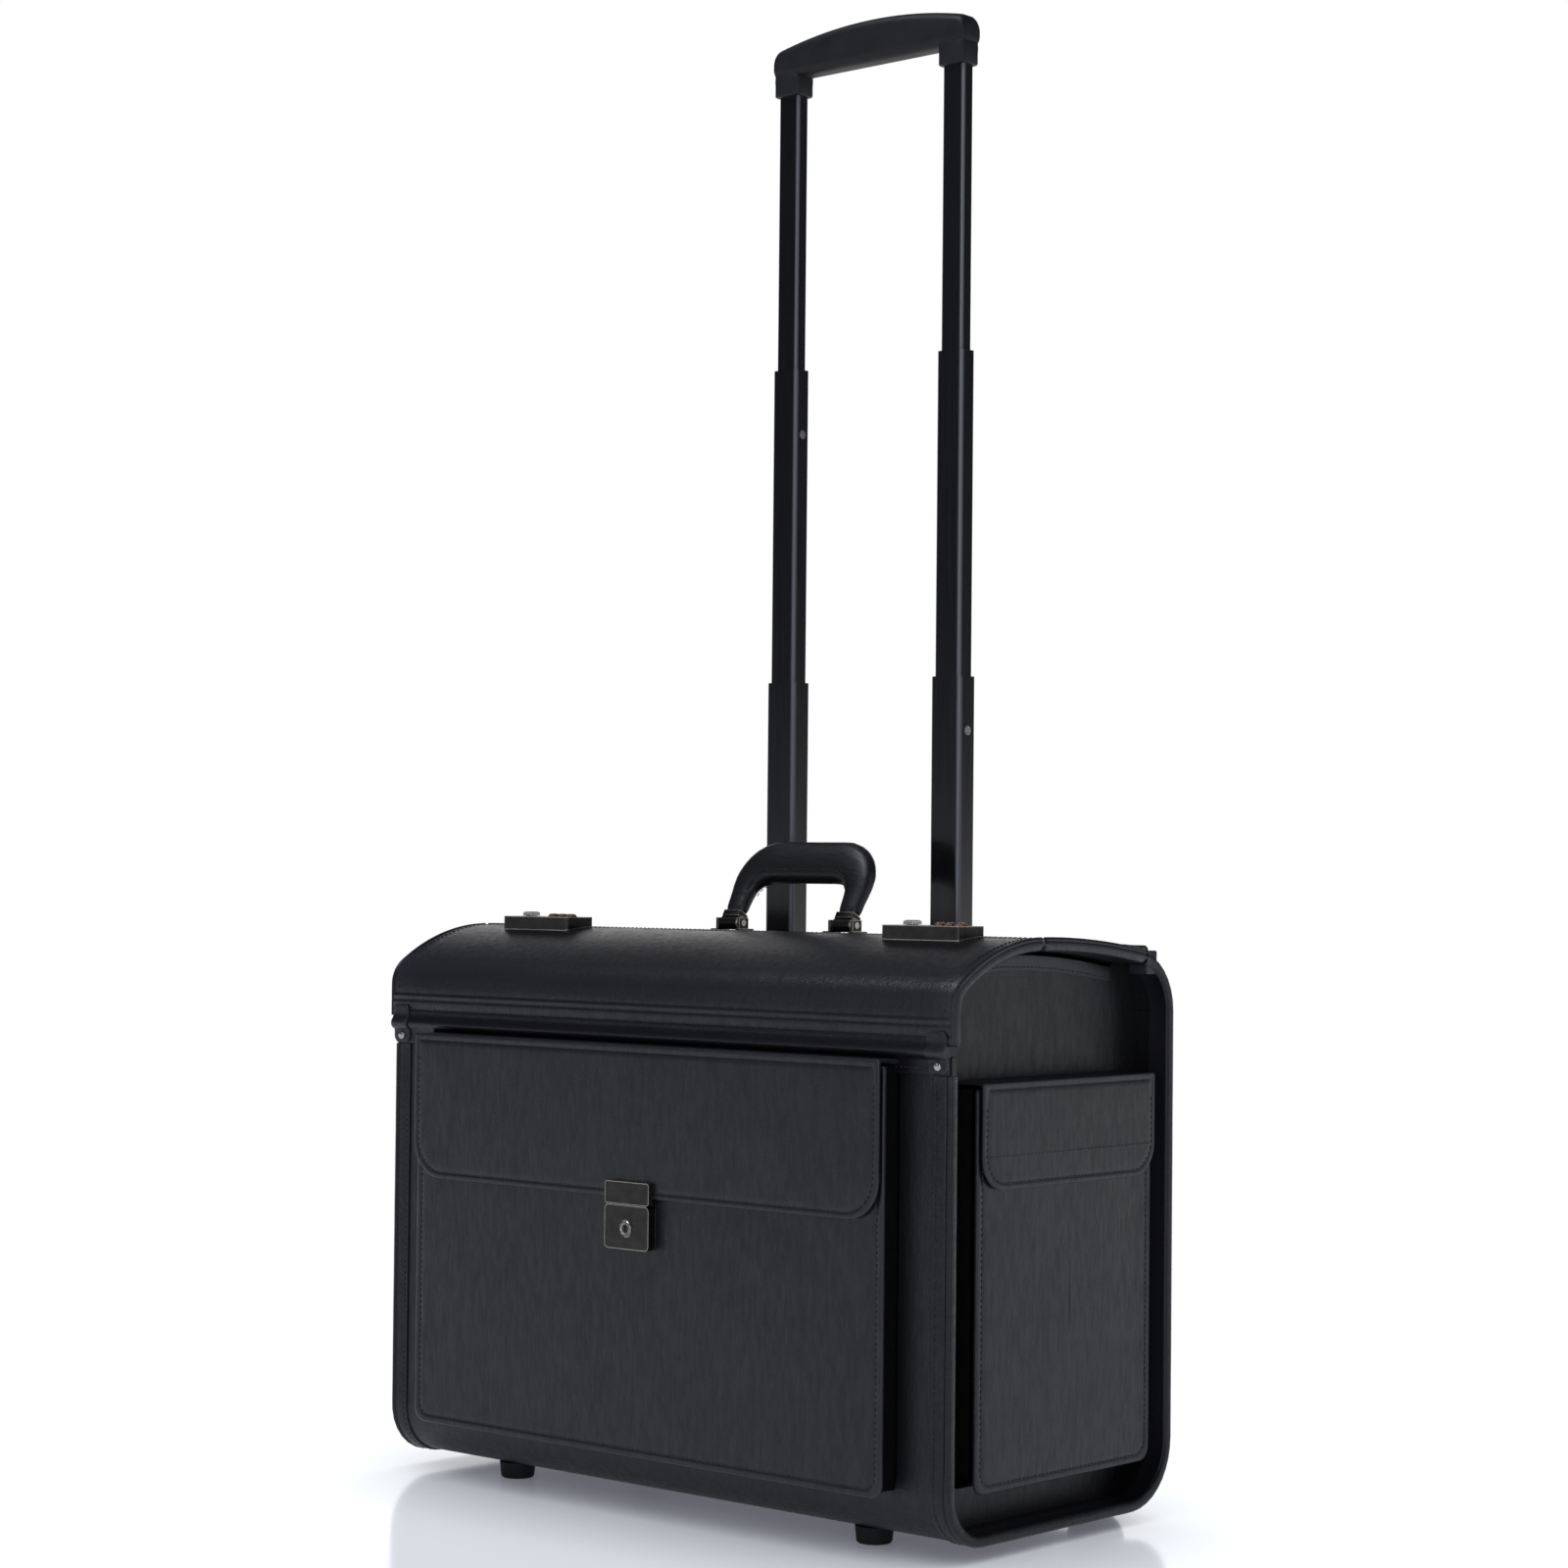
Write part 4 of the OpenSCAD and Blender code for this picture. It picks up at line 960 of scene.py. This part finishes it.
def flap(stem, tail, low, high, place, radius, back, lip, seam, seed, row=None):
    """A pocket flap with round lower corners, and the folded leather that hinges it.

    back is how far the fold reaches behind the flap's face, and lip is how thick it is there. row is the
    height of a straight row of stitches above the lower edge.
    """
    body = stem + tail
    panel = Panel(low, high, (radius, radius, 1.5, 1.5), lambda a, b, h: place(a, b, 0.9 * h),
                  edge=1.1, crown=0.4, seam=seam, seed=seed)
    leather = panel.build(f"{stem}_panel{tail}", 2.2, body)
    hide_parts(body)
    top = high[1]
    runs = [panel.run(top - 6)]
    if row:
        middle = Vector(((low[0] + high[0]) / 2, low[1] + row))
        lift = panel.height(middle, row) + 0.1
        outward = place(0, 0, 1) - place(0, 0, 0)
        runs.append([(panel.place(a, middle.y, lift), outward) for a in (low[0] + 6, high[0] - 6)])
    stitching(f"{stem}_stitches{tail}", runs, body)
    fold = [(-1.8, top - 3), (-1.8, top - 0.2), (-back, top - 0.2), (-back, top - lip), (-3.8, top - 1.6),
            (-2.8, top - 3)]
    rings = [[place(a, b, out) for out, b in fold] for a in (low[0] + 1, high[0] - 1)]
    make_piece(f"{stem}_hinge{tail}", skin(rings), BINDING, body)


def front_of(y):
    """Gives the point at a, b in the front plane at y, and out in front of it."""
    return lambda a, b, out: Vector((a, y - out, b))


def end_of(side, x):
    """Gives the point at a, b in the end plane at x on that side, and out beyond it."""
    return lambda a, b, out: Vector((side * (x + out), a, b))


def make_front_pocket():
    """Front pocket and its flap."""
    pocket_y = POCKET_LOW.y + 1.0
    pocket("front_pocket", POCKET_LOW.xz, POCKET_HIGH.xz, front_of(pocket_y),
           depth=POCKET_HIGH.y - pocket_y, fold=6.5, seed=1.0)
    flap_y = FLAP_LOW.y + 0.5
    flap("pocket_flap", "", FLAP_LOW.xz, FLAP_HIGH.xz, front_of(flap_y),
         radius=24, back=FLAP_HIGH.y - flap_y, lip=1.4, seam=4.2, seed=3.0)


def make_side_pockets():
    """Side pockets and their flaps, in the recesses of the two ends."""
    pocket_x = SIDE_HIGH.x - 0.6
    flap_x = SIDE_FLAP_HIGH.x - 0.4
    for side, name in SIDES:
        pocket(f"side_pocket_{name}", SIDE_LOW.yz, SIDE_HIGH.yz, end_of(side, pocket_x),
               depth=pocket_x - SIDE_LOW.x, fold=7, seed=7.0 + side)
        flap("side_flap", f"_{name}", SIDE_FLAP_LOW.yz, SIDE_FLAP_HIGH.yz, end_of(side, flap_x),
             radius=20, back=flap_x - SIDE_FLAP_LOW.x, lip=1.5, seam=4.0, seed=9.0 + side, row=20)


# ---------- carry handle ----------


def handle_section(end):
    """Half width and half thickness of the handle, that far from its nearer foot."""
    full = smooth(end, 10, 52)
    half_w = HANDLE_LEG / 2 + (HANDLE_BAR - HANDLE_LEG) / 2 * full
    return half_w, HANDLE_DEPTH * 0.34 + HANDLE_DEPTH * 0.16 * full


def handle_shape():
    """Track and rings of the D-shaped handle about its pins, before it is padded and leans back."""
    bar_z = HANDLE_H - HANDLE_BAR / 2
    corner = 22
    leg_x = HANDLE_HALF_W - HANDLE_LEG / 2
    track = Track([(-leg_x, 3.5)] + arc((-leg_x + corner, bar_z - corner), corner, 180, 90, 12)
                  + arc((leg_x - corner, bar_z - corner), corner, 90, 0, 12) + [(leg_x, 3.5)], -1)
    rings = []
    for s in even(0, track.length, 96):
        end = min(s, track.length - s)
        foot = smooth(end, 0, 7)
        wide, thick = handle_section(end)
        wide = wide * (0.72 + 0.28 * foot) - PAD_ROOM
        thick = thick * (0.8 + 0.2 * foot) - PAD_ROOM
        ring = []
        for a in even(0, 2 * math.pi, 28)[:-1]:
            u = math.copysign(abs(math.cos(a)) ** 0.72, math.cos(a))
            v = math.copysign(abs(math.sin(a)) ** 0.72, math.sin(a))
            x, z = track.at(s, wide * u)
            ring.append((x, thick * v, z))
        rings.append(ring)
    return track, rings


def swell(piece, held_z):
    """Puffs a padded piece up with a short cloth simulation, then smooths it. It is held below held_z."""
    modify(piece, "even_mesh", "REMESH", mode="VOXEL", voxel_size=SWELL_MESH * MM)
    evaluated = piece.evaluated_get(bpy.context.evaluated_depsgraph_get())
    mesh = bpy.data.meshes.new_from_object(evaluated)
    piece.modifiers.clear()
    piece.data = mesh
    rest = [v.co.copy() for v in mesh.vertices]
    held = piece.vertex_groups.new(name="held")
    held.add([i for i, p in enumerate(rest) if p.z / MM < held_z], 1.0, "REPLACE")
    cloth = modify(piece, "padding", "CLOTH")
    cloth.settings.use_pressure = True
    cloth.settings.uniform_pressure_force = SWELL_PRESSURE
    cloth.settings.effector_weights.gravity = 0
    cloth.settings.vertex_group_mass = "held"
    cloth.settings.tension_stiffness = 40
    cloth.settings.bending_stiffness = 2
    cloth.collision_settings.use_collision = False
    cloth.point_cache.frame_start = 1
    cloth.point_cache.frame_end = SWELL_FRAMES
    scene = bpy.context.scene
    for step in range(1, SWELL_FRAMES + 1):
        scene.frame_set(step)
    evaluated = piece.evaluated_get(bpy.context.evaluated_depsgraph_get())
    puffed = [v.co.copy() for v in evaluated.data.vertices]
    piece.modifiers.clear()
    scene.frame_set(1)
    for vertex, start, end in zip(mesh.vertices, rest, puffed):
        move = end - start
        if move.length > PAD_SWELL * MM:
            move = move.normalized() * PAD_SWELL * MM
        vertex.co = start + move
    work = bmesh.new()
    work.from_mesh(mesh)
    for _ in range(3):
        bmesh.ops.smooth_vert(work, verts=work.verts, factor=0.5,
                              use_axis_x=True, use_axis_y=True, use_axis_z=True)
    work.to_mesh(mesh)
    work.free()
    mesh.shade_smooth()
    modify(piece, "detail", "SUBSURF", levels=1, render_levels=1)


def make_carry_handle():
    """Padded carry handle on metal eyes, sewn along the inside of its bar."""
    pin = joint_place("carry_handle_hinge")
    lean = Matrix.Rotation(math.radians(HANDLE_LEAN), 4, "X")
    track, rings = handle_shape()
    shape = skin([[lean @ Vector(p) + pin for p in ring] for ring in rings])
    pad = make_piece("carry_handle_pad", shape, HANDLE_HIDE, None, 60)
    swell(pad, pin.z + 9)
    pad.data.materials.clear()
    pad.data.materials.append(HANDLE_HIDE)
    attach(pad, "carry_handle")
    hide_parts("carry_handle")
    runs = []
    for face in (-1, 1):
        run = []
        for s in even(20, track.length - 20, 40):
            wide, thick = handle_section(min(s, track.length - s))
            x, z = track.at(s, -wide * 0.62)
            run.append((lean @ Vector((x, face * (thick * 0.93), z)) + pin, lean @ Vector((0, face, 0))))
        runs.append(run)
    stitching("carry_handle_stitches", runs, "carry_handle")
    eye = [(-7.9, 1.95), (-7.9, 4.1), (-7.4, 4.6), (7.4, 4.6), (7.9, 4.1), (7.9, 1.95)]
    leg_x = HANDLE_HALF_W - HANDLE_LEG / 2
    parts = []
    for side in (-1, 1):
        points, faces = turned(eye, pin + Vector((side * leg_x, 0, 0)), (1, 0, 0), 28)
        parts.append((points, faces[:-2]))
        outline = rounded_loop(15.4, 9.0, 1.2, 3)
        parts.append(skin([[lean @ Vector((side * leg_x + x, y, z)) + pin for x, y in outline]
                           for z in (3.4, 7.5)]))
    make_piece("carry_handle_eyes", joined(parts), GUNMETAL, "carry_handle")


# ---------- locks ----------


def make_dials():
    """Number wheels: a notched copper drum with ten painted digits."""
    for side in ("left", "right"):
        for i in (1, 2, 3):
            node = f"dial_{side}_{i}"
            low, high = span(node)
            centre = (low + high) / 2
            radius = (high.z - low.z) / 2
            half = (high.x - low.x) / 2
            rings = []
            for along, share in ((-half, 0.30), (-half, 0.86), (-half + 0.5, 0.95), (half - 0.5, 0.95),
                                 (half, 0.86), (half, 0.30)):
                ring = []
                for k in range(60):
                    notch = 0.35 if k % 6 == 3 and share > 0.9 else 0.0
                    a = math.radians(6 * k + 6)
                    r = radius * share - notch
                    ring.append(centre + Vector((along, r * math.sin(a), r * math.cos(a))))
                rings.append(ring)
            shape = skin(rings, closed=True)
            drum = make_piece(f"number_wheel_{side}_{i}", shape, COPPER, node, 30)
            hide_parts(node)
            make_digits(f"digits_{side}_{i}", node, centre, radius * 0.95 + 0.03)


def make_digits(name, body, centre, radius):
    """The digits 0 to 9 round a number wheel, as thin raised paint."""
    parts = []
    for digit in range(10):
        text = bpy.data.curves.new("digit", "FONT")
        text.body = str(digit)
        text.size = 3.1
        text.align_x = "CENTER"
        text.align_y = "CENTER"
        text.resolution_u = 2
        holder = in_scene("digit", text)
        bpy.context.view_layer.update()
        flat = bpy.data.meshes.new_from_object(holder.evaluated_get(bpy.context.evaluated_depsgraph_get()))
        bend = math.radians(36 * digit)
        points = []
        for vertex in flat.vertices:
            a = bend + vertex.co.y / radius
            points.append(centre + Vector((vertex.co.x, radius * math.sin(a), radius * math.cos(a))))
        parts.append((points, [tuple(face.vertices) for face in flat.polygons]))
        bpy.data.objects.remove(holder)
        bpy.data.curves.remove(text)
        bpy.data.meshes.remove(flat)
    digits = make_piece(name, joined(parts), DIGIT_PAINT, body, 60)
    modify(digits, "paint", "SOLIDIFY", thickness=0.04 * MM, offset=1.0)


def make_slider_ridges():
    """Grip ridges on the slide buttons of both locks."""
    for side in ("left", "right"):
        low, high = span(f"lock_slider_{side}")
        centre = (low + high) / 2
        parts = []
        for x in even(centre.x - 3, centre.x + 3, 4):
            ridge = [(x - 0.35, high.z - 0.2), (x, high.z + 0.45), (x + 0.35, high.z - 0.2)]
            parts.append(skin([[(x, y, z) for x, z in ridge] for y in (centre.y - 3.6, centre.y + 3.6)]))
        make_piece(f"slider_ridges_{side}", joined(parts), STEEL, f"lock_slider_{side}")


def make_pocket_lock_button():
    """Push button of the pocket lock, with a keyhole painted on as a thin dark sheet of painted shade."""
    low, high = span("pocket_lock_button")
    middle_z = (low.z + high.z) / 2
    radius = 4.95
    profile = [(0, 6.5), (1.0, 6.5), (1.0, radius), (4.8, radius), (5.3, radius - 0.4), (5.3, 3.4),
               (5.0, 3.1), (5.0, 1.2), (5.0, 0.05)]
    shape = turned(profile, (0, high.y, middle_z), (0, -1, 0), 40)
    button = make_piece("pocket_lock_push_button", shape, GUNMETAL, "pocket_lock_button")
    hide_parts("pocket_lock_button")
    # Painted shade: the keyhole is a dark sheet on the button's face, standing in for the dark of the hole.
    keyhole = arc((0, middle_z + 0.9), 0.85, -50, 230, 12) + [(-0.5, middle_z - 2), (0.5, middle_z - 2)]
    face_y = high.y - 5.03
    shape = skin([[(x, y, z) for x, z in keyhole] for y in (face_y, face_y + 0.3)])
    make_piece("pocket_lock_keyhole", shape, DARK, "pocket_lock_button")


# ---------- trolley grip ----------


def make_grip():
    """Arched trolley grip with rounded edges, a parting line and two collars."""
    half_w = GRIP_HIGH.x
    mid_y = (GRIP_LOW.y + GRIP_HIGH.y) / 2
    half_d = (GRIP_HIGH.y - GRIP_LOW.y) / 2
    rise = 10
    under = GRIP_LOW.z + 12.5
    arch = (half_w ** 2 + rise ** 2) / (2 * rise)
    collar_w = 23
    collar_x = half_w - collar_w / 2

    def top(x):
        return GRIP_HIGH.z - arch + math.sqrt(arch ** 2 - x ** 2)

    rings = []
    for along in places(2 * half_w, 5, 5):
        x = along - half_w
        shut = rounding(min(along, 2 * half_w - along), 5)
        top_z = top(x) - shut
        low_z = under + shut * 0.15
        middle = (top_z + low_z) / 2
        depth = 2 * half_d - shut * 0.7
        loop = rounded_loop(depth, top_z - low_z, min(6.5, (top_z - low_z) / 2 - 0.2), 7)
        rings.append([(x, mid_y + u, middle + v) for u, v in loop])
    parts = [skin(rings)]
    for side in (-1, 1):
        collar = []
        for z, grow in ((0, -0.8), (0.35, -0.25), (1.0, 0), (8, 0), (11, 0.15), (15, 0), (20, -1.5)):
            loop = rounded_loop(collar_w + 2 * grow, 18.4 + 2 * grow, 4.2, 6)
            collar.append([(side * collar_x + u, mid_y + v, GRIP_LOW.z + z) for u, v in loop])
        parts.append(skin(collar))
    grip = make_piece("trolley_grip_shell", joined(parts), GRIP_PLASTIC, "upper_stage", 50)
    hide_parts("trolley_grip")
    seam = [Vector((x, mid_y, top(x) + 0.02)) for x in range(-72, 73, 6)]
    make_piece("trolley_grip_seam", round_bar(seam, 0.3, 6), DARK, "upper_stage")


# ---------- wheels ----------


def make_wheels():
    """Rubber tyres with two grooves, on hubs with five spokes."""
    for side in ("left", "right"):
        low, high = span(f"wheel_tyre_{side}")
        centre = (low + high) / 2
        radius = (high.z - low.z) / 2
        half = (high.x - low.x) / 2
        inner = radius * 0.68
        tread = [(-half, inner), (-half, radius - 3.6), (-half + 1.0, radius - 1.2),
                 (-half + 3.0, radius - 0.1), (-half + 5.4, radius), (-half + 5.8, radius - 0.7),
                 (-half + 6.6, radius - 0.7), (-half + 7.0, radius)]
        tread += [(-x, r) for x, r in reversed(tread)]
        points, faces = turned(tread, centre, (1, 0, 0), 72)
        tyre = make_piece(f"tyre_{side}", (points, faces[:-2]), RUBBER, f"wheel_{side}", 50)
        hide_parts(f"wheel_tyre_{side}")
        dress(f"wheel_hub_{side}", PLASTIC, 0.3)
        parts = []
        for k in range(5):
            turn = Matrix.Rotation(math.radians(72 * k), 4, "X")
            rings = []
            for r in (7.6, inner - 0.6):
                loop = rounded_loop(2 * half - 1.6, 3.0 - 0.06 * r, 0.6, 2)
                rings.append([turn @ Vector((u, v, r)) + centre for u, v in loop])
            parts.append(skin(rings))
        make_piece(f"wheel_spokes_{side}", joined(parts), PLASTIC, f"wheel_{side}")


# ---------- finishes of the CAD nodes that stay ----------

FINISHES = (
    (BOARD_LEATHER, 0.8, ("body_wrap", "end_panel_left", "end_panel_right", "rear_top_strip")),
    (BINDING, 0.3, ("rear_hinge_bead", "front_hinge_band")),
    (LINING, 0.6, ("base_board", "file_divider", "trolley_cover")),
    (GUNMETAL, 0.35, ("pocket_lock_case", "pocket_lock_plate", "trolley_bracket", "lock_case_left",
                      "lock_case_right", "handle_brackets", "hasp_mounts", "hasp_left", "hasp_right")),
    (STEEL, 0.25, ("foot_screws", "wheel_axles", "lock_slider_left", "lock_slider_right", "handle_pins",
                   "lower_lock_button", "middle_lock_button")),
    (TUBE, 0.15, ("trolley_housings", "lower_tubes", "middle_tubes", "upper_tubes")),
    (PLASTIC, 0.5, ("tube_bezels", "wheel_housings", "middle_plugs", "upper_plugs")),
    (RUBBER, 0.5, ("front_feet",)),
)


def dress_nodes():
    """Gives its finish to each CAD node that is still seen."""
    for material, edge, nodes in FINISHES:
        for node in nodes:
            dress(node, material, edge)


# ---------- stage, light and camera ----------


def make_stage():
    """A wide pale floor at z = 0, and the group that keeps the lamps from lighting it."""
    reach = FLOOR_REACH * MM
    corners = [(x * reach, y * reach, 0) for x, y in ((-1, -1), (1, -1), (1, 1), (-1, 1))]
    mesh = bpy.data.meshes.new("floor")
    mesh.from_pydata(corners, [], [(0, 1, 2, 3)])
    mesh.materials.append(studio_floor("pale_floor"))
    floor = in_scene("floor", mesh)
    unlit = bpy.data.collections.new("not_lit_by_lamps")
    unlit.objects.link(floor)
    unlit.collection_objects[0].light_linking.link_state = "EXCLUDE"
    return unlit


def make_world():
    """A studio that lights and mirrors white behind the case and dim in front, and looks white all round."""
    world = bpy.data.worlds.new("studio")
    world.use_nodes = True
    sky = Nodes(world.node_tree)
    facing = sky.dot(sky.add("TexCoord", "Generated"), BACKDROP_SIDE)
    behind = sky.between(facing, *BACKDROP_FADE, curve="SMOOTHSTEP")
    seen = sky.add("LightPath", "Is Camera Ray")
    white = sky.add("Math", "Value", {0: behind, 1: seen}, operation="MAXIMUM")
    sky.feed(sky.tree.nodes["Background"].inputs["Color"], sky.mixed(white, STUDIO_DIM, (1.0, 1.0, 1.0)))
    bpy.context.scene.world = world


# Soft lamps: name, place, target, width and height in metres, and power in watts.
LAMPS = (
    ("key", (-0.9, -2.7, 1.4), (0.1, 0, 0.3), 1.3, 1.8, 5),
    ("side", (2.6, 1.6, 0.9), (0.2, 0, 0.3), 1.2, 1.8, 6),
    ("top", (-0.3, -0.8, 2.6), (0, 0, 0.3), 1.6, 0.6, 26),
    ("strip", (2.0, -1.9, 1.1), (0, 0.1, 0.6), 0.7, 2.0, 12),
)


def make_lamps(unlit):
    """Cool soft lamps that light everything but the group unlit."""
    for name, place, target, width, height, power in LAMPS:
        data = bpy.data.lights.new(name, "AREA")
        data.shape = "RECTANGLE"
        data.size = width
        data.size_y = height
        data.energy = power
        data.color = LAMP_COLOUR
        lamp = in_scene(name, data)
        lamp.location = place
        lamp.rotation_euler = (Vector(target) - Vector(place)).to_track_quat("-Z", "Y").to_euler()
        lamp.light_linking.receiver_collection = unlit


def make_camera():
    """The view of the case from its front right corner."""
    data = bpy.data.cameras.new("camera")
    data.lens = CAMERA_LENS
    data.sensor_width = 36
    data.clip_end = 3 * FLOOR_REACH * MM
    camera = in_scene("camera", data)
    turn = Matrix.Rotation(math.radians(CAMERA_TURN), 4, "Z")
    tilt = Matrix.Rotation(math.radians(90 + CAMERA_TILT), 4, "X")
    roll = Matrix.Rotation(math.radians(CAMERA_ROLL), 4, "Z")
    camera.matrix_world = Matrix.Translation(Vector(CAMERA_PLACE) * MM) @ turn @ tilt @ roll
    bpy.context.scene.camera = camera
    bpy.context.scene.view_settings.view_transform = "Standard"


make_camera()
make_world()
make_lamps(make_stage())
dress_nodes()
make_bindings()
make_end_bindings()
make_front_lid()
make_rear_lid()
make_hinge_strips()
make_hinge_tabs()
make_front_pocket()
make_side_pockets()
make_carry_handle()
make_dials()
make_slider_ridges()
make_pocket_lock_button()
make_grip()
make_wheels()
